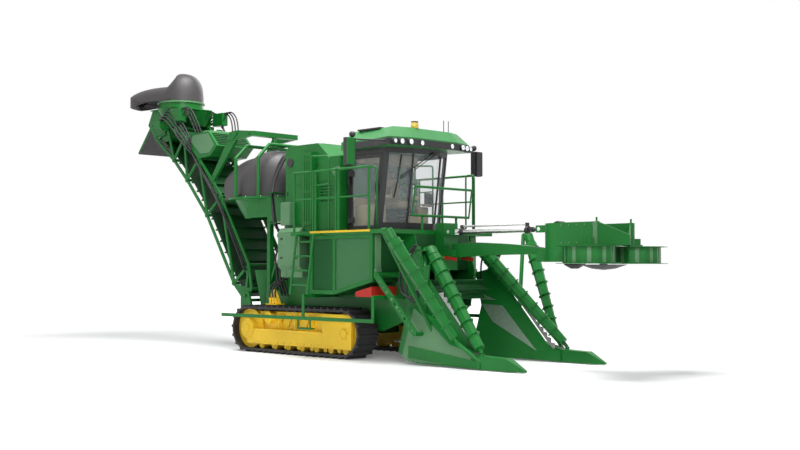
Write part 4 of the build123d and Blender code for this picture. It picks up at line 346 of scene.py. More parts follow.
def make_stage():
    bpy.ops.mesh.primitive_plane_add(size=FLOOR_SIZE)
    floor = bpy.context.object
    floor.name = "floor"
    made, shader = new_material("floor_white", FLOOR_COLOUR, FLOOR_ROUGHNESS, specular=0.0)
    tree = made.node_tree
    reach = add_node(tree, "VectorMath", "LENGTH")
    tree.links.new(add_node(tree, "TexCoord").outputs["Object"], reach.inputs[0])
    fade = add_node(tree, "MapRange", From_Min=FADE_START, From_Max=FADE_END,
                    To_Min=GLOW_NEAR, To_Max=GLOW_FAR)
    fade.interpolation_type = "SMOOTHSTEP"
    tree.links.new(reach.outputs["Value"], fade.inputs["Value"])
    shader.inputs["Emission Color"].default_value = (*WHITE, 1)
    strength = add_math(tree, "MULTIPLY", fade.outputs["Result"], backdrop_rays(tree))
    tree.links.new(strength, shader.inputs["Emission Strength"])
    floor.data.materials.append(made)


# Mesh building
ARC_STEPS = 4


def link_piece(name, data, material, body, slot):
    slot = slot or SLOTS.get(material, "green_paint")
    data.materials.append(material)
    piece = bpy.data.objects.new(name, data)
    bpy.context.scene.collection.objects.link(piece)
    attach(piece, body)
    return piece


def add_rings(mesh, rings):
    """Skin over rings of corners, closed at both ends."""
    rings = [[mesh.verts.new(spot) for spot in ring] for ring in rings]
    sides = len(rings[0])
    for low, high in zip(rings[:-1], rings[1:]):
        for side in range(sides):
            after = (side + 1) % sides
            mesh.faces.new((low[side], low[after], high[after], high[side]))
    mesh.faces.new(rings[0][::-1])
    mesh.faces.new(rings[-1])


def circle(count, turn=0.0):
    """Cosine and sine of the angles of a ring of places."""
    for place in range(count):
        angle = 2 * math.pi * (place + turn) / count
        yield math.cos(angle), math.sin(angle)


class Shape:
    """Mesh under construction. Places are given for the left; side -1 mirrors them to the right."""

    def __init__(self, side=1):
        self.mesh = bmesh.new()
        self.side = side

    def at(self, place):
        return (place[0], self.side * place[1], place[2])

    def box(self, low, high, edge):
        """Box between two corners, with its edges broken."""
        low, high = self.at(low), self.at(high)
        middle = [(a + b) / 2 for a, b in zip(low, high)]
        size = [abs(b - a) for a, b in zip(low, high)]
        made = bmesh.ops.create_cube(self.mesh, size=1.0)
        bmesh.ops.transform(self.mesh, matrix=Matrix.Translation(middle) @ Matrix.Diagonal((*size, 1)),
                            verts=made["verts"])
        edges = {line for corner in made["verts"] for line in corner.link_edges}
        bmesh.ops.bevel(self.mesh, geom=list(edges), offset=edge, segments=2, profile=0.7, affect="EDGES")

    def prism(self, outline, y_low, y_high):
        """Outline of X and Z filled between two values of Y."""
        near = [self.mesh.verts.new(self.at((x, y_low, z))) for x, z in outline]
        far = [self.mesh.verts.new(self.at((x, y_high, z))) for x, z in outline]
        self.mesh.faces.new(near)
        self.mesh.faces.new(far[::-1])
        for place in range(len(outline)):
            after = (place + 1) % len(outline)
            self.mesh.faces.new((near[place], far[place], far[after], near[after]))

    def lathe(self, profile, origin, axis=OUT, sides=24):
        """Profile of radius and height, turned about an axis."""
        origin, turn = Vector(self.at(origin)), Vector(self.at(axis)).to_track_quat("Z", "Y").to_matrix()
        add_rings(self.mesh, [[origin + turn @ Vector((radius * across, radius * along, height))
                               for across, along in circle(sides)] for radius, height in profile])

    def rod(self, start, end, radius, sides=12):
        """Round bar with a small chamfer at each end."""
        run = Vector(end) - Vector(start)
        lip = min(radius * 0.25, run.length * 0.2)
        self.lathe([(radius - lip, 0), (radius, lip), (radius, run.length - lip), (radius - lip, run.length)],
                   start, run, sides)

    def bolt(self, place, radius, axis=OUT):
        """Hexagon head on a washer."""
        self.lathe([(radius * 1.5, 0), (radius * 1.5, radius * 0.3)], place, axis, 12)
        foot = Vector(place) + Vector(axis).normalized() * radius * 0.3
        self.lathe([(radius, 0), (radius, radius * 0.7), (radius * 0.8, radius * 0.85)], foot, axis, 6)

    def bolt_row(self, start, end, count, radius):
        for place in range(count):
            self.bolt(Vector(start).lerp(Vector(end), place / (count - 1)), radius)

    def bolt_ring(self, middle, reach, count, radius, axis=OUT, turn=0.0):
        """Bolts on a circle that faces out or up."""
        x, y, z = middle
        for across, along in circle(count, turn):
            self.bolt((x + reach * across, y, z + reach * along) if axis == OUT else
                      (x + reach * across, y + reach * along, z), radius, axis)

    def finish(self, name, material, body="root", slot=None, smooth=False):
        """Turn the mesh into a piece that rides on a body."""
        bmesh.ops.recalc_face_normals(self.mesh, faces=self.mesh.faces)
        data = bpy.data.meshes.new(name)
        self.mesh.to_mesh(data)
        self.mesh.free()
        if smooth:
            for face in data.polygons:
                face.use_smooth = True
        return link_piece(name, data, material, body, slot)


def hose(name, points, radius, body="root", side=1):
    """Flexible hose along one smooth curve, fixed at both ends."""
    data = bpy.data.curves.new(name, "CURVE")
    data.dimensions = "3D"
    data.bevel_depth = radius
    data.bevel_resolution = 3
    data.resolution_u = 8
    data.use_fill_caps = True
    line = data.splines.new("NURBS")
    line.points.add(len(points) - 1)
    for spot, (x, y, z) in zip(line.points, points):
        spot.co = (x, side * y, z, 1)
    line.order_u = 3
    line.use_endpoint_u = True
    return link_piece(name, data, hose_black, body, None)


def tube(name, points, radius, material, side=1, slot=None):
    """Bent round tube through points, with capped ends."""
    shape = Shape(side)
    spots = [Vector(shape.at(point)) for point in points]
    rings = []
    aside = None
    for place, spot in enumerate(spots):
        along = (spots[min(place + 1, len(spots) - 1)] - spots[max(place - 1, 0)]).normalized()
        aside = along.orthogonal() if aside is None else aside - along * aside.dot(along)
        aside.normalize()
        across = along.cross(aside)
        rings.append([spot + (aside * near + across * far) * radius for near, far in circle(12)])
    add_rings(shape.mesh, rings)
    return shape.finish(name, material, slot=slot, smooth=True)


def rounded(points, reach):
    """Corners of a route taken off with short arcs."""
    spots = [Vector(point) for point in points]
    made = [spots[0]]
    for before, here, after in zip(spots[:-2], spots[1:-1], spots[2:]):
        start = here + (before - here).normalized() * reach
        end = here + (after - here).normalized() * reach
        for step in range(ARC_STEPS + 1):
            share = step / ARC_STEPS
            made.append(start.lerp(here, share).lerp(here.lerp(end, share), share))
    return made + [spots[-1]]


# Hoods: smooth shells in place of the frame's faceted ones
SKIN_RINGS, SKIN_SPOKES = 18, 56
RING_CROWDING = 2.6
DOME_POWER = 2.7
CORNER_POWER = 9
SHELL_WALL = 0.012
SKIRT_DROP = 0.002


def dome_height(share, crown, neck, bend, lip):
    """Height of a hood's ridge at a share of its reach, from the front (1) to the lip (-1)."""
    if share > crown:
        return superellipse((share - crown) / (1 - crown))
    if share > bend:
        return neck + (1 - neck) * math.cos(math.pi / 2 * (crown - share) / (crown - bend)) ** 2
    return lip + (neck - lip) * math.sqrt(max(0.0, 1 - ((bend - share) / (1 + bend)) ** 2))


def superellipse(share):
    return max(0.0, 1 - share ** DOME_POWER) ** (1 / DOME_POWER)


def hood_shell(name, node, body, centre, sizes, form, mouth, turn=0.0):
    """Domed shell with a drooping spout: a height for each place of its plan, and a skirt round it."""
    radius, reach, height, half_width = sizes
    lip_low, heel = mouth
    spin = Matrix.Rotation(turn, 3, "Z")
    shape = Shape()
    corner = shape.mesh.verts.new

    def edge_of(across, aside):
        if across >= 0:
            return radius
        slope = (radius - half_width) / reach
        side = radius / (aside + slope * -across)
        end = reach / -across
        return max(radius * 0.999, (side ** -CORNER_POWER + end ** -CORNER_POWER) ** (-1 / CORNER_POWER))

    def bottom_of(share):
        return height * lip_low * max(0.0, (heel - share) / (heel + 1)) if share < heel else 0.0

    def spot(x, y, z):
        return Vector(centre) + spin @ Vector((x, y, 0)) + Vector((0, 0, z))

    def share_of(x):
        return x / (radius if x > 0 else reach)

    grid = []
    for across, along in circle(SKIN_SPOKES):
        edge = edge_of(across, abs(along))
        column = []
        for ring in range(1, SKIN_RINGS + 1):
            reach_share = 1 - (1 - ring / SKIN_RINGS) ** RING_CROWDING
            x, y = edge * reach_share * across, edge * reach_share * along
            line = radius + (half_width - radius) * abs(x) / reach if x < 0 else 0.0
            chord = math.sqrt(max(0.0, radius ** 2 - min(radius, abs(x)) ** 2))
            low = bottom_of(share_of(x))
            ridge = dome_height(share_of(x), *form) * height
            cross = superellipse(min(1.0, abs(y) / max(chord, line, 1e-6)))
            column.append(corner(spot(x, y, low + max(0.0, ridge - low) * cross)))
        x, y = edge * across, edge * along
        column.append(corner(spot(x, y, bottom_of(share_of(x)) - SKIRT_DROP)))
        grid.append(column)
    top = corner(spot(0, 0, dome_height(0, *form) * height))
    for here, after in zip(grid, grid[1:] + grid[:1]):
        shape.mesh.faces.new((top, here[0], after[0]))
        for ring in range(SKIN_RINGS):
            shape.mesh.faces.new((here[ring], here[ring + 1], after[ring + 1], after[ring]))
    piece = shape.finish(name, hood_black, body, smooth=True)
    wall = piece.modifiers.new("wall", "SOLIDIFY")
    wall.thickness = SHELL_WALL
    wall.offset = -1.0
    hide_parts(node)


def make_hoods():
    hood_shell("primary_hood_shell", "primary_hood", "hood", (EXTRACTOR_X, 0, 2.9005),
               (0.76, 1.01, 0.922, 0.56), (0.20, 0.90, -0.22, 0.36), (0.27, -0.77))
    hood_shell("secondary_hood_shell", "secondary_hood", "top_hood", (BARREL_X, 0, 5.1403),
               (0.485, 1.12, 0.627, 0.33), (0.10, 0.56, -0.22, 0.20), (-0.16, -0.50), math.radians(30.0))
    band = Shape()
    band.lathe([(0.486, 0.0), (0.512, 0.004), (0.512, 0.034), (0.486, 0.038)], (BARREL_X, 0, 5.096), UP, 48)
    band.bolt_ring((BARREL_X, 0, 5.132), 0.499, 20, 0.006, UP)
    band.finish("secondary_ring", green_highlight, "elevator")
    seams = Shape()
    seams.bolt_ring((EXTRACTOR_X, 0, 2.9), 0.83, 16, 0.012, UP, 0.5)
    seams.finish("hood_ring_bolts", steel, "hood")


# Tracks
def make_tracks():
    for side, hand in SIDES:
        bolts = Shape(side)
        for x, y, z, reach, count, radius in (
            (SPROCKET_X, SPROCKET_Y, AXLE_Z, 0.135, 10, 0.012),
            (RETURN_ROLLER_X, TRACK_Y, RETURN_ROLLER_Z, 0.075, 8, 0.009),
            (IDLER_X, TRACK_Y, AXLE_Z, 0.10, 6, 0.012),
        ):
            bolts.bolt_ring((x, y, z), reach, count, radius)
        bolts.bolt_row((-1.05, TRACK_Y, 0.20), (1.0, TRACK_Y, 0.20), 12, 0.010)
        bolts.bolt_row((0.80, TRACK_Y, 0.66), (1.32, TRACK_Y, 0.66), 5, 0.010)
        bolts.finish("track_bolts_" + hand, yellow)
        caps = Shape(side)
        for x, y, z, radius, depth in (
            (SPROCKET_X, SPROCKET_Y, AXLE_Z, 0.085, 0.028),
            (SPROCKET_X, SPROCKET_Y, AXLE_Z, 0.165, 0.008),
            (RETURN_ROLLER_X, TRACK_Y, RETURN_ROLLER_Z, 0.045, 0.022),
            (IDLER_X, TRACK_Y, AXLE_Z, 0.075, 0.03),
        ):
            caps.lathe([(radius, 0), (radius, depth * 0.7), (radius * 0.85, depth)], (x, y, z), sides=28)
        for place in range(7):
            x = -1.185 + 0.355 * (place + 0.5)
            caps.lathe([(0.05, 0), (0.05, 0.01), (0.035, 0.016)], (x, 1.070, 0.138), sides=20)
        caps.finish("track_caps_" + hand, yellow)
        ribs = Shape(side)
        for x in (-1.06, -0.52, -0.08, 0.36, 0.70):
            ribs.prism([(x, 0.43), (x + 0.022, 0.43), (x + 0.022, 0.70), (x, 0.70)], 1.001, 1.075)
        ribs.box((-1.15, 1.118, 0.395), (0.74, 1.132, 0.432), 0.004)
        ribs.box((0.74, 1.118, 0.58), (1.30, 1.130, 0.615), 0.004)
        ribs.finish("track_ribs_" + hand, yellow)
        links = Shape(side)
        for y in (0.86, 1.02):
            for place in range(14):
                x = -1.30 + 2.52 * place / 13
                links.box((x - 0.07, y - 0.02, 0.765), (x + 0.07, y + 0.02, 0.788), 0.004)
        links.finish("track_links_" + hand, track_black)


# Deck, panels, ladders and boxes
# The dark window holds the punched sheet's painted-shade copy, the pale window its painted-sheen copy
PANEL_WINDOWS = (
    ("dark", ((0.652, 1.162), (1.167, 1.162), (1.167, 2.020), (0.652, 2.020)), mesh_shaded),
    ("pale", ((1.241, 1.162), (2.068, 1.366), (2.068, 2.020), (1.241, 2.020)), mesh_lit_sheen),
)
PANEL_SHEET = 0.004
PANEL_FRAME_Y = 1.275
PANEL_BOLT_RADIUS, PANEL_BOLT_SHIFT, PANEL_BOLT_GAP = 0.006, 0.030, 0.16
RUNGS = 4


def panel_bolts(shape, outline):
    """Bolts in a panel's frame: its window's outline, moved outwards from its middle."""
    middle_x = sum(x for x, z in outline) / len(outline)
    middle_z = sum(z for x, z in outline) / len(outline)
    wide = [(x + math.copysign(PANEL_BOLT_SHIFT, x - middle_x),
             z + math.copysign(PANEL_BOLT_SHIFT, z - middle_z)) for x, z in outline]
    for start, end in zip(wide, wide[1:] + wide[:1]):
        count = int(math.dist(start, end) / PANEL_BOLT_GAP)
        for place in range(count):
            share = place / count
            shape.bolt((start[0] + (end[0] - start[0]) * share, PANEL_FRAME_Y,
                        start[1] + (end[1] - start[1]) * share), PANEL_BOLT_RADIUS)


def make_deck():
    for side, hand in SIDES:
        for name, outline, material in PANEL_WINDOWS:
            sheet = Shape(side)
            sheet.prism(outline, PANEL_Y, PANEL_Y + PANEL_SHEET)
            sheet.finish("panel_mesh_" + name + "_" + hand, material)
        bolts = Shape(side)
        for name, outline, material in PANEL_WINDOWS:
            panel_bolts(bolts, outline)
        bolts.finish("panel_bolts_" + hand, green)
        plate = Shape(side)
        plate.box((2.15, 1.10, 1.50), (2.165, 1.235, 2.08), 0.003)
        plate.box((2.142, 1.12, 1.45), (2.20, 1.24, 1.52), 0.006)
        plate.finish("tank_end_plate_" + hand, green_highlight)
        steps = Shape(side)
        for x in (0.46, 0.78):
            steps.box((x, 1.443, 0.50), (x + 0.035, 1.457, 0.665), 0.003)
        steps.box((0.46, 1.36, 0.49), (0.815, 1.462, 0.515), 0.005)
        for place in range(6):
            steps.box((0.50 + 0.05 * place, 1.37, 0.514), (0.515 + 0.05 * place, 1.455, 0.521), 0.002)
        steps.finish("low_step_" + hand, green)
        treads = Shape(side)
        treads.box((0.235, 1.425, 1.08), (0.285, 1.455, 1.14), 0.006)
        treads.box((0.685, 1.425, 1.08), (0.735, 1.455, 1.14), 0.006)
        for rung in range(RUNGS):
            share = (rung + 0.5) / RUNGS
            x, z = 0.26 + 0.16 * share, 1.12 + 0.98 * share
            treads.box((x + 0.03, 1.415, z + 0.004), (x + 0.42, 1.465, z + 0.020), 0.004)
        treads.finish("ladder_treads_" + hand, green)
        lid = Shape(side)
        lid.box((-0.46, 1.098, 1.60), (0.04, 1.106, 2.14), 0.004)
        lid.box((-0.47, 1.03, 1.40), (-0.35, 1.038, 1.48), 0.003)
        lid.finish("valve_box_lid_" + hand, green_highlight)
        latch = Shape(side)
        for z in (1.70, 2.04):
            latch.box((-0.43, 1.104, z), (-0.37, 1.118, z + 0.035), 0.005)
            latch.box((-0.01, 1.104, z), (0.02, 1.120, z + 0.05), 0.004)
        latch.finish("valve_box_latches_" + hand, trim)
        bracket = Shape(side)
        bracket.prism(((-1.02, 0.865), (-0.70, 0.865), (-0.78, 1.02), (-0.86, 1.15), (-0.96, 1.06)),
                      0.86, 0.90)
        bracket.box((-1.02, 0.78, 0.862), (-0.70, 0.98, 0.885), 0.005)
        for x in (-0.94, -0.86, -0.78):
            bracket.rod((x, 0.92, 0.885), (x - 0.02, 0.92, 0.99), 0.022)
        bracket.finish("hose_bracket_" + hand, yellow)
        for place, x in enumerate((-0.96, -0.88, -0.80)):
            hose("bracket_hose_%s_%d" % (hand, place),
                 [(x, 0.92, 0.985), (x - 0.03, 0.92, 1.12), (x - 0.02, 0.86, 1.24), (x + 0.02, 0.78, 1.30),
                  (x + 0.02, 0.66, 1.34)], 0.014, side=side)


# Engine housing: doors, grille bars, latches and lids
HOUSING_DOORS = (((0.34, 2.22), (0.91, 2.66)), ((0.34, 3.06), (0.91, 3.42)),
                 ((-0.50, 2.30), (0.02, 2.98)), ((-0.50, 3.04), (0.02, 3.64)))
LATCH_PLACES = ((0.86, 2.44), (0.86, 3.24), (-0.03, 2.66), (-0.03, 3.34))
HINGE_PLACES = ((0.36, 2.28), (0.36, 2.60), (0.36, 3.12), (0.36, 3.36), (-0.48, 2.40), (-0.48, 2.88))
HOOP_Y = 1.28
HOOP_REAR_X, HOOP_FRONT_X = 0.62, 1.08


def make_housing():
    for side, hand in SIDES:
        doors = Shape(side)
        for low, high in HOUSING_DOORS:
            doors.box((low[0], 0.898, low[1]), (high[0], 0.907, high[1]), 0.004)
        for z in (2.30, 2.86, 3.42):
            doors.box((0.062, 1.008, z), (0.292, 1.017, z + 0.05), 0.003)
        for x in (0.10, 0.16, 0.22):
            doors.box((x, 1.008, 2.24), (x + 0.022, 1.020, 3.52), 0.003)
        doors.finish("housing_doors_" + hand, green)
        small = Shape(side)
        for x, z in LATCH_PLACES:
            small.box((x, 0.905, z - 0.05), (x + 0.028, 0.922, z + 0.05), 0.006)
        for x, z in HINGE_PLACES:
            small.rod((x, 0.912, z - 0.035), (x, 0.912, z + 0.035), 0.010)
        small.finish("housing_latches_" + hand, trim)
        port = Shape(side)
        port.lathe([(0.085, 0), (0.085, 0.012), (0.07, 0.022), (0.045, 0.022)], (-0.40, 0.906, 3.44),
                   sides=28)
        port.finish("intake_port_" + hand, trim)
        box = Shape(side)
        box.box((-0.52, 0.90, 2.30), (-0.26, 1.04, 2.72), 0.022)
        box.finish("relay_box_" + hand, green_highlight)
        wedge = Shape(side)
        wedge.prism(((0.70, 3.26), (0.94, 3.30), (0.94, 3.06), (0.90, 3.04)), 0.905, 0.925)
        wedge.finish("cab_gusset_" + hand, green_highlight)
        hoop = ((HOOP_REAR_X, HOOP_Y, DECK_Z), (HOOP_REAR_X, HOOP_Y, 3.46), (HOOP_FRONT_X, HOOP_Y, 3.43),
                (HOOP_FRONT_X, HOOP_Y, DECK_Z))
        tube("tall_hoop_" + hand, rounded(hoop, 0.06), 0.017, green, side)
        bar = [(HOOP_REAR_X, HOOP_Y, 2.95), (HOOP_FRONT_X, HOOP_Y, 2.95)]
        tube("tall_hoop_bar_" + hand, bar, 0.013, green, side)
    lid = Shape()
    lid.box((-0.38, -0.74, 3.738), (0.28, 0.74, 3.756), 0.006)
    for x in (-0.28, -0.05, 0.18):
        lid.box((x - 0.008, -0.70, 3.754), (x + 0.008, 0.70, 3.764), 0.002)
    lid.finish("housing_lid", green_shade)
    screen = Shape()
    screen.box((-0.550, -0.70, 2.30), (-0.538, 0.70, 3.55), 0.004)
    for place in range(11):
        z = 2.36 + 0.11 * place
        screen.box((-0.556, -0.67, z), (-0.548, 0.67, z + 0.035), 0.003)
    screen.finish("housing_screen", green_shade)


# Cab
PAD_CUTS = 5
# Lamps on the visor: X, Y, lens radius and whether the CAD visor lacks its housing
VISOR_LAMPS = ((2.3594, 0.80, 0.043, False), (2.411, 0.64, 0.043, False), (2.402, 0.37, 0.040, True),
               (2.330, 0.93, 0.034, True))
WIPERS = (
    ("wiper_arm_right", ((2.17, 0.16, 3.52), (2.14, -0.355, 3.20), (2.035, -0.525, 3.07)), 0.009),
    ("wiper_arm_left", ((2.175, 0.22, 3.50), (2.142, -0.345, 3.16), (2.030, -0.530, 3.03)), 0.007),
    ("wiper_blade", ((2.070, -0.532, 3.44), (2.015, -0.560, 3.05), (1.945, -0.590, 2.72)), 0.013),
)
WHEEL_STEPS = 28
WHEEL_TILT = 0.35
LOOP_Y = 1.20


def make_pad(name, low, high, crown):
    """Crowned pad whose sides pull in between its corners."""
    shape = Shape()
    bmesh.ops.create_cube(shape.mesh, size=2.0)
    bmesh.ops.subdivide_edges(shape.mesh, edges=shape.mesh.edges[:], cuts=PAD_CUTS, use_grid_fill=True)
    middle = [(a + b) / 2 for a, b in zip(low, high)]
    half = [(b - a) / 2 for a, b in zip(low, high)]
    for corner in shape.mesh.verts:
        place = list(corner.co)
        swell = [math.cos(value * math.pi / 2) for value in place]
        for axis in range(3):
            others = [swell[other] for other in range(3) if other != axis]
            place[axis] *= 1 - crown + crown * min(1.0, (others[0] * others[1]) ** 0.5)
        corner.co = Vector([m + p * h for m, p, h in zip(middle, place, half)])
    pad = shape.finish(name, seat_cloth, smooth=True)
    finer = pad.modifiers.new("finer", "SUBSURF")
    finer.levels = finer.render_levels = 1


def make_seat():
    make_pad("seat_cushion", (1.25, -0.255, 2.55), (1.76, 0.255, 2.69), 0.16)
    make_pad("seat_back", (1.145, -0.25, 2.66), (1.27, 0.25, 3.12), 0.16)
    make_pad("seat_headrest", (1.15, -0.13, 3.12), (1.24, 0.13, 3.255), 0.18)
    base = Shape()
    base.box((1.30, -0.20, FLOOR_OF_CAB_Z), (1.70, 0.20, 2.30), 0.02)
    for z in (2.32, 2.38, 2.44, 2.50):
        base.box((1.33, -0.17, z - 0.018), (1.67, 0.17, z + 0.02), 0.012)
    base.box((1.15, -0.22, 2.48), (1.25, 0.22, 2.72), 0.02)
    seat_base = base.finish("seat_base", trim, slot="cab_trim")
    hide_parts("cab_interior")


def make_controls():
    consoles = Shape()
    for consoles.side in (-1, 1):
        consoles.box((1.06, 0.40, FLOOR_OF_CAB_Z), (1.56, 0.66, 2.62), 0.03)
        consoles.box((1.24, 0.29, 2.74), (1.60, 0.37, 2.80), 0.015)
    consoles.box((1.78, -0.14, FLOOR_OF_CAB_Z), (1.90, 0.14, 2.42), 0.03)
    consoles.box((1.62, 0.42, 2.62), (1.70, 0.66, 2.66), 0.01)
    consoles.finish("cab_consoles", beige)
    column = Shape()
    column.rod((1.84, 0, 2.40), (1.70, 0, 2.86), 0.045)
    column.rod((1.71, 0, 2.84), (1.68, 0, 2.93), 0.065)
    for column.side in (-1, 1):
        column.rod((1.54, 0.33, 2.79), (1.57, 0.33, 2.93), 0.022)
    column.box((1.66, 0.44, 2.66), (1.69, 0.64, 2.86), 0.008)
    column.finish("steering_column", trim, slot="cab_trim")
    wheel = [(1.68 + 0.06 * across, 0.19 * along, 2.95 + 0.17 * across * WHEEL_TILT)
             for across, along in circle(WHEEL_STEPS)]
    tube("steering_wheel", wheel + wheel[:1], 0.014, trim, slot="cab_trim")
    lining = Shape()
    lining.box((1.03, -0.70, 2.20), (1.045, 0.70, 2.75), 0.004)
    lining.box((1.02, -0.66, 3.36), (1.30, 0.66, 3.54), 0.02)
    lining.finish("cab_lining", beige)


def make_roof_parts():
    housings, lenses = Shape(), Shape()
    for side in (-1, 1):
        for x, y, lens, housed in VISOR_LAMPS:
            spot = (x, side * y, LAMP_Z)
            if housed:
                housings.lathe([(lens + 0.010, -0.10), (lens + 0.012, -0.01), (lens + 0.008, 0.004)],
                               spot, FORWARD)
            lenses.lathe([(lens, 0.0), (lens, 0.004), (lens * 0.75, 0.009)], spot, FORWARD)
    housings.finish("lamp_housings", trim)
    lenses.finish("lamp_lenses", lamp_clear)
    dome = Shape()
    dome.lathe([(0.066, 0.0), (0.067, 0.05), (0.064, 0.09), (0.052, 0.118), (0.030, 0.130)],
               (2.15, -0.30, ROOF_Z + 0.002), UP, 28)
    dome.finish("beacon_dome", beacon_amber, smooth=True)
    vents = Shape()
    vents.box((1.22, -0.76, ROOF_Z), (1.78, -0.44, 3.912), 0.010)
    vents.box((1.22, 0.44, ROOF_Z), (1.78, 0.76, 3.912), 0.010)
    vents.finish("roof_vents", trim)
    panel = Shape()
    panel.box((1.15, -0.38, ROOF_Z), (2.00, 0.38, 3.908), 0.012)
    panel.finish("roof_panel", green)


def make_cab():
    make_seat()
    make_controls()
    make_roof_parts()
    for name, points, radius in WIPERS:
        tube(name, points, radius, trim)
    pull = Shape()
    pull.box((1.02, -0.812, 2.96), (1.075, -0.796, 3.10), 0.010)
    pull.box((1.70, -0.800, 2.80), (1.735, -0.765, 2.98), 0.008)
    pull.finish("door_handle", trim, "door")
    for side, hand in SIDES:
        face = Shape(side)
        face.box((1.8565, 1.475, 3.215), (1.8600, 1.645, 3.635), 0.001)
        face.finish("mirror_face_" + hand, steel)
        cap = Shape(side)
        cap.box((1.939, 1.505, 3.205), (1.972, 1.662, 3.648), 0.014)
        cap.finish("mirror_cap_" + hand, green if side < 0 else trim)
        ball = Shape(side)
        ball.lathe([(0.02, 0.0), (0.045, 0.02), (0.055, 0.05), (0.045, 0.08), (0.02, 0.098)],
                   (1.90, 1.50, 3.662), UP, 20)
        ball.finish("mirror_lamp_" + hand, trim, smooth=True)
        loop = ((1.97, LOOP_Y, DECK_Z), (1.97, LOOP_Y, 3.20), (2.17, LOOP_Y, 3.18), (2.17, LOOP_Y, DECK_Z))
        tube("side_loop_" + hand, rounded(loop, 0.07), 0.015, green, side)
    seams = Shape()
    for y in (-0.335, 0.335):
        seams.prism(((1.99, 2.30), (2.012, 2.30), (2.172, 3.47), (2.150, 3.47)), y - 0.014, y + 0.014)
    seams.finish("windscreen_seams", trim)


# Extractor tower, hoses and pipes behind the engine
TOWER_HOSES = (
    ((-1.16, 0.30, 3.74), (-1.08, 0.52, 3.66), (-1.18, 0.62, 3.36), (-1.16, 0.72, 3.02), (-0.94, 0.86, 2.66),
     (-0.86, 0.86, 2.30)),
    ((-1.12, 0.22, 3.80), (-1.02, 0.46, 3.74), (-1.10, 0.66, 3.34), (-1.08, 0.78, 3.00), (-0.90, 0.92, 2.62),
     (-0.82, 0.92, 2.30)),
    ((-1.08, 0.14, 3.84), (-0.96, 0.42, 3.80), (-1.03, 0.72, 3.30), (-1.01, 0.84, 2.98), (-0.84, 0.97, 2.60),
     (-0.78, 0.96, 2.26)),
)
TOWER_HOSE_START_X = -0.56
COVER_X, COVER_Z = -1.06, 0.84


def make_extractor():
    for place, run in enumerate(TOWER_HOSES):
        start = (TOWER_HOSE_START_X, run[0][1], run[0][2] - 0.30)
        foot = (run[-1][0], 0.80, 2.20)
        for side, hand in SIDES:
            hose("tower_hose_%s_%d" % (hand, place), [start, *run, foot], 0.024, side=side)
    clamps = Shape()
    for clamps.side in (-1, 1):
        clamps.box((-0.99, 0.74, 2.90), (-0.80, 1.00, 2.93), 0.004)
        clamps.box((-0.90, 0.66, 2.34), (-0.72, 0.98, 2.37), 0.004)
    clamps.finish("hose_clamps", green_shade)
    for side, hand in SIDES:
        cylinder = Shape(side)
        cylinder.rod((-1.16, 0.60, 1.62), (-0.92, 0.60, 2.20), 0.055, 20)
        cylinder.rod((-0.98, 0.60, 2.06), (-0.90, 0.60, 2.26), 0.026, 16)
        cylinder.finish("tower_cylinder_" + hand, steel)
        cover = Shape(side)
        cover.lathe([(0.12, 0), (0.12, 0.02), (0.10, 0.034)], (COVER_X, FRAME_Y, COVER_Z), sides=32)
        cover.bolt_ring((COVER_X, FRAME_Y + 0.02, COVER_Z), 0.10, 8, 0.007)
        cover.finish("frame_cover_" + hand, green_highlight)
        bolts = Shape(side)
        for x in (-1.335, -0.815):
            bolts.bolt_row((x, FRAME_Y, 1.25), (x, FRAME_Y, 2.40), 7, 0.010)
        bolts.bolt_row((-0.60, FRAME_Y, 0.60), (1.90, FRAME_Y, 0.60), 10, 0.012)
        bolts.finish("frame_bolts_" + hand, green)
        for place in range(3):
            x = -1.02 + 0.09 * place
            hose("frame_hose_%s_%d" % (hand, place),
                 [(x, 0.60, 2.02), (x - 0.06, 0.72, 1.80), (x - 0.02, 0.70, 1.50), (x + 0.04, 0.74, 1.26),
                  (x + 0.10, 0.66, 1.02)], 0.017, side=side)
    drum = Shape()
    drum.lathe([(0.20, 0.0), (0.24, 0.03), (0.24, 0.20), (0.18, 0.26)], (-1.10, 0, 2.20), UP, 28)
    drum.finish("chopper_drum", green)


# Elevator: cover, head, hoses and bolts
TRUSS_PINS = ((-3.94, 3.80), (-3.16, 2.97), (-4.46, 4.30), (-4.84, 3.83), (-4.35, 3.38), (-3.63, 2.62),
              (-2.70, 1.24), (-2.24, 1.46))
SLATS = 7
OVAL_X = -3.90
HOSE_END_Y = 0.47


def make_cover():
    slats = Shape()
    low, high = Vector((-3.30, 0, 4.046)), Vector((-3.56, 0, 4.319))
    for place in range(SLATS):
        spot = low.lerp(high, (place + 0.5) / SLATS)
        slats.prism(((spot.x - 0.010, spot.z), (spot.x + 0.014, spot.z - 0.018),
                     (spot.x + 0.022, spot.z + 0.004), (spot.x + 0.002, spot.z + 0.016)), -0.40, 0.40)
    slats.finish("cover_slats", green_shade, "elevator")
    plates = Shape()
    plates.box((-4.16, -0.40, 4.338), (-3.62, 0.40, 4.352), 0.005)
    for plates.side in (-1, 1):
        plates.prism(((-4.24, 4.20), (-4.10, 4.30), (-3.60, 4.30), (-3.38, 4.04), (-3.54, 3.90),
                      (-3.86, 3.90)), 0.459, 0.468)
    plates.finish("cover_plates", green_highlight, "elevator")
    oval = Shape()
    oval.lathe([(0.26, 0.0), (0.27, 0.010), (0.27, 0.026), (0.245, 0.036)], (OVAL_X, 0, 4.350), UP, 40)
    stretch = (Matrix.Translation((OVAL_X, 0, 0)) @ Matrix.Diagonal((0.8, 1.35, 1, 1))
               @ Matrix.Translation((-OVAL_X, 0, 0)))
    bmesh.ops.transform(oval.mesh, matrix=stretch, verts=oval.mesh.verts)
    oval.finish("cover_oval", green_highlight, "elevator")


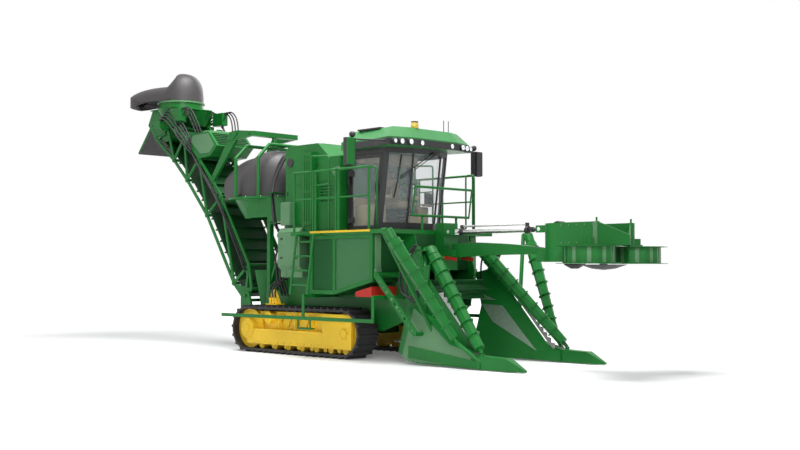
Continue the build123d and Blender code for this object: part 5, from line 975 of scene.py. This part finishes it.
def make_head_hoses(side, hand):
    for place in range(5):
        y = 0.50 + 0.035 * place
        drop = 0.07 * place
        hose("head_hose_%s_%d" % (hand, place),
             [(-5.10, y, 4.62 + 0.02 * place), (-5.02, y + 0.05, 4.86 - drop / 2),
              (-4.80, y + 0.09, 4.96 - drop), (-4.56, y + 0.05, 4.74 - drop), (-4.34, y, 4.46 - drop),
              (-4.18, HOSE_END_Y, 4.20 - drop)],
             0.016, "elevator", side)
    for place in range(3):
        x = -4.62 + 0.10 * place
        hose("arch_hose_%s_%d" % (hand, place),
             [(x, 0.50, 4.70), (x + 0.10, 0.54, 4.92), (x + 0.34, 0.56, 4.86), (x + 0.52, 0.53, 4.60),
              (x + 0.60, HOSE_END_Y, 4.34)], 0.015, "elevator", side)
    for place in range(2):
        y = 0.475 + 0.03 * place
        hose("chord_hose_%s_%d" % (hand, place),
             [(-2.30, y, 1.50), (-2.62, y, 2.04), (-3.10, y, 2.76), (-3.52, y, 3.26), (-3.96, y, 3.72),
              (-4.20, HOSE_END_Y, 3.98)], 0.014, "elevator", side)


def make_elevator():
    make_cover()
    for side, hand in SIDES:
        bolts = Shape(side)
        bolts.bolt_row((-5.50, CHEEK_Y, 4.40), (-5.66, CHEEK_Y, 4.64), 4, 0.012)
        bolts.bolt_row((-5.60, CHEEK_Y, 4.94), (-4.86, CHEEK_Y, 4.94), 8, 0.012)
        for x, z in TRUSS_PINS:
            bolts.lathe([(0.05, 0), (0.05, 0.008), (0.03, 0.014)], (x, 0.4595, z), sides=20)
            bolts.bolt((x, 0.472, z), 0.014)
        bolts.finish("elevator_bolts_" + hand, green, "elevator")
        motor = Shape(side)
        motor.box((-4.76, 0.475, 4.62), (-4.40, 0.62, 4.90), 0.02)
        motor.rod((-4.58, 0.46, 4.46), (-4.58, 0.60, 4.46), 0.085, 24)
        motor.rod((-5.10, 0.46, 4.58), (-5.10, 0.64, 4.58), 0.10, 24)
        motor.box((-5.19, 0.62, 4.50), (-5.01, 0.70, 4.66), 0.02)
        motor.finish("head_motor_" + hand, green, "elevator")
        funnel = Shape(side)
        funnel.lathe([(0.17, 0.0), (0.20, 0.02), (0.34, 0.30), (0.36, 0.33)], (-5.06, 0.30, 4.62), UP, 32)
        funnel.finish("head_funnel_" + hand, green, "elevator")
        make_head_hoses(side, hand)
        rail = Shape(side)
        rail.prism(((-5.79, 4.655), (-5.765, 4.640), (-6.27, 4.082), (-6.295, 4.096)), 0.395, 0.423)
        rail.finish("flap_rail_" + hand, green, "flap")
    ribs = Shape()
    for share in (0.25, 0.55, 0.85):
        x, z = -5.76 - 0.53 * share, 4.66 - 0.59 * share
        ribs.prism(((x - 0.014, z + 0.006), (x + 0.002, z + 0.022), (x + 0.016, z + 0.008), (x, z - 0.008)),
                   -0.39, 0.39)
    ribs.finish("flap_ribs", trim, "flap")
    gussets = Shape()
    for gussets.side in (-1, 1):
        gussets.prism(((-2.42, 4.236), (-2.72, 4.236), (-2.82, 4.06), (-2.60, 4.08)), 0.559, 0.572)
        for x, z in ((-2.50, 4.18), (-2.66, 4.18), (-3.28, 3.38), (-2.10, 4.15)):
            gussets.bolt((x, 0.571, z), 0.014)
    gussets.finish("arch_gussets", green, "turntable")


# Topper
ROD_Z = 2.13
DRUM_FACES = 10
DRUM_RADIUS = 0.370
DRUM_PLACE = Vector((5.905, 0.6, 1.72))
STRIP_HALF_WIDTH, STRIP_HALF_HEIGHT = 0.030, 0.112
CUBE_QUADS = ((0, 1, 3, 2), (4, 6, 7, 5), (0, 4, 5, 1), (2, 3, 7, 6), (0, 2, 6, 4), (1, 5, 7, 3))
GUARD_TEETH = 7


def make_drum_strips(side, hand):
    """Flat strip on the middle of each face of a gathering drum."""
    strips = Shape()
    reach = DRUM_RADIUS * math.cos(math.pi / DRUM_FACES)
    for across, aside in circle(DRUM_FACES, 0.5):
        out = Vector((across, aside, 0))
        middle = Vector((DRUM_PLACE.x, side * DRUM_PLACE.y, DRUM_PLACE.z)) + out * reach
        along = Vector((-aside, across, 0)) * STRIP_HALF_WIDTH
        corners = [strips.mesh.verts.new(middle + out * lift + along * way + Vector((0, 0, rise)))
                   for lift in (-0.002, 0.006) for rise in (-STRIP_HALF_HEIGHT, STRIP_HALF_HEIGHT)
                   for way in (-1, 1)]
        for quad in CUBE_QUADS:
            strips.mesh.faces.new([corners[place] for place in quad])
    strips.finish("drum_strips_" + hand, green_highlight, "gatherer_" + hand)


def make_topper():
    clamps = Shape()
    for x in (2.94, 4.30):
        clamps.lathe([(0.056, 0.0), (0.060, 0.006), (0.060, 0.054), (0.056, 0.060)],
                     (x - 0.005, 0, ROD_Z), FORWARD)
        clamps.box((x - 0.004, -0.026, 2.17), (x + 0.040, 0.026, 2.242), 0.005)
    clamps.rod((4.34, 0, ROD_Z), (4.62, 0, ROD_Z), 0.030, 16)
    clamps.box((4.38, -0.035, 2.09), (4.44, 0.035, 2.17), 0.008)
    clamps.finish("topper_clamps", trim, "topper_rod")
    for place in range(3):
        y = -0.05 + 0.05 * place
        hose("topper_hose_%d" % place, [(4.84, y, 2.02), (4.83, y, 2.14), (4.90, y, 2.24), (5.02, y, 2.22),
                                        (5.10, y, 2.10), (5.12, y, 1.98)], 0.016, "topper")
        y *= 0.8
        hose("boom_hose_%d" % place, [(2.90, y, 1.94), (3.10, y, 1.948), (3.70, y, 1.916), (4.20, y, 1.880),
                                      (4.60, y, 1.840)], 0.013, "topper_arm")
    guard = Shape()
    outline = [(3.02, 1.700), (2.66, 1.735)]
    for place in range(GUARD_TEETH):
        x, drop = 2.68 + 0.05 * place, 0.005 * place
        outline += [(x, 1.705 - drop), (x + 0.025, 1.672 - drop)]
    for guard.side in (-1, 1):
        guard.prism(outline, 0.20, 0.212)
    guard.finish("root_guard", red)
    carriers = Shape()
    for carriers.side in (-1, 1):
        carriers.box((2.52, 0.168, 1.66), (2.72, 0.214, 1.745), 0.006)
    carriers.finish("root_guard_carriers", green)
    straps = Shape()
    for straps.side in (-1, 1):
        straps.box((5.895, 0.474, 1.865), (5.965, 0.486, 2.20), 0.004)
        for z in (1.90, 2.16):
            straps.bolt_row((5.30, 0.441, z), (5.86, 0.441, z), 5, 0.009)
    straps.finish("topper_head_straps", green_highlight, "topper")
    cone = Shape()
    cone.lathe([(0.056, 0.0), (0.150, 0.052), (0.186, 0.098), (0.186, 0.112)], (5.22, 0, 1.520), UP, 32)
    cone.finish("topper_cone", black, "topper")
    for side, hand in SIDES:
        make_drum_strips(side, hand)


# Crop dividers
# Sheets: name, outline of X and Z, the two values of Y and the look
DIVIDER_SHEETS = (
    ("divider_inner_sheet_", ((2.52, 0.20), (2.66, 1.30), (2.92, 1.50), (4.085, 0.225), (4.28, 0.20),
                              (4.28, 0.02), (2.66, 0.02)), 0.8905, 0.8945, green),
    ("wear_plate_", ((2.60, 0.92), (3.07, 0.90), (3.80, 0.17), (2.86, 0.62)), 0.8795, 0.8900, worn_green),
    ("wear_strip_", ((2.62, 1.09), (2.94, 0.99), (2.60, 0.99)), 0.8795, 0.8900, worn_green),
    ("divider_panel_", ((2.64, 0.12), (2.90, 0.90), (3.22, 0.70), (3.66, 0.36), (4.10, 0.24), (4.10, 0.06),
                        (2.80, 0.05)), 1.089, 1.094, green_highlight),
)
SAW_TEETH = 11
ARM_TOP, ARM_FOOT = Vector((2.20, 0, 1.42)), Vector((3.08, 0, 0.50))
# Scroll motors: name, top and foot of the scroll's axis, radius
SCROLL_MOTORS = (
    ("inner", (2.953, 0.680, 1.700), (4.23, 1.04, 0.32), 0.108),
    ("outer", (3.049, 1.690, 1.960), (3.90, 1.24, 0.47), 0.080),
)


def make_scroll_motor(name, top, foot, girth, side, hand):
    motor = Shape()
    start = Vector((top[0], side * top[1], top[2]))
    run = (start - Vector((foot[0], side * foot[1], foot[2]))).normalized()
    motor.lathe([(girth * 0.91, 0.0), (girth, 0.012), (girth, 0.150), (girth * 0.89, 0.172),
                 (girth * 0.65, 0.180)], start + run * 0.014, run, 28)
    turn = run.to_track_quat("Z", "Y").to_matrix()
    for across, along in circle(6):
        motor.bolt(start + run * 0.174 + turn @ Vector((across, along, 0)) * girth * 0.8, 0.009, run)
    motor.finish("scroll_motor_%s_%s" % (name, hand), green, "divider_" + hand)


def make_dividers():
    for side, hand in SIDES:
        body = "divider_" + hand
        for name, outline, y_low, y_high, material in DIVIDER_SHEETS:
            sheet = Shape(side)
            sheet.prism(outline, y_low, y_high)
            sheet.finish(name + hand, material, body)
        teeth = Shape(side)
        low, high = Vector((4.16, 0, 0.235)), Vector((3.30, 0, 1.165))
        outline = [(high.x - 0.03, high.z - 0.03)]
        for place in range(SAW_TEETH):
            spot = high.lerp(low, (place + 0.5) / SAW_TEETH)
            ahead = high.lerp(low, (place + 1) / SAW_TEETH)
            outline += [(spot.x + 0.034, spot.z + 0.032), (ahead.x, ahead.z)]
        outline.append((low.x - 0.04, low.z - 0.03))
        teeth.prism(outline, 0.905, 0.911)
        teeth.finish("divider_teeth_" + hand, worn, body)
        bracket = Shape(side)
        bracket.prism(((2.78, 1.49), (2.66, 1.80), (2.74, 1.90), (2.86, 1.88), (2.96, 1.54)), 0.90, 0.915)
        bracket.box((2.72, 0.75, 1.80), (2.90, 0.915, 1.826), 0.006)
        bracket.bolt_row((2.76, 0.916, 1.78), (2.88, 0.916, 1.70), 3, 0.012)
        bracket.finish("scroll_bracket_" + hand, green, body)
        arm = Shape(side)
        for share in (0.12, 0.22, 0.62, 0.70, 0.86, 0.94):
            spot = ARM_TOP.lerp(ARM_FOOT, share)
            arm.bolt((spot.x, 1.2605, spot.z), 0.010)
        for share in (0.30, 0.42, 0.56):
            spot = ARM_TOP.lerp(ARM_FOOT, share)
            arm.lathe([(0.026, 0), (0.026, 0.004), (0.018, 0.006)], (spot.x, 1.2602, spot.z), sides=18)
        arm.finish("link_arm_bolts_" + hand, green_highlight, body)
        for place in range(3):
            gap = 0.04 * place
            hose("divider_hose_%s_%d" % (hand, place),
                 [(2.90 + gap / 2, 1.02 + gap, 1.90), (2.80, 1.05 + gap, 1.76),
                  (2.72 - gap, 1.10 + gap, 1.40), (2.80 - gap, 1.12 + gap, 1.02 + gap),
                  (2.98, 1.10 + gap, 0.98 + gap), (3.02, 1.07 + gap, 1.18), (2.94, 1.05, 1.30)],
                 0.015, body, side)
        hose("inner_hose_" + hand,
             [(2.80, 0.74, 1.82), (2.72, 0.76, 1.70), (2.64, 0.82, 1.44), (2.62, 0.88, 1.26)],
             0.015, body, side)
        for name, top, foot, girth in SCROLL_MOTORS:
            make_scroll_motor(name, top, foot, girth, side, hand)


bpy.context.scene.view_settings.view_transform = "Standard"
make_camera()
make_lights()
dress_nodes()
make_stage()
make_hoods()
make_tracks()
make_deck()
make_housing()
make_cab()
make_extractor()
make_elevator()
make_topper()
make_dividers()
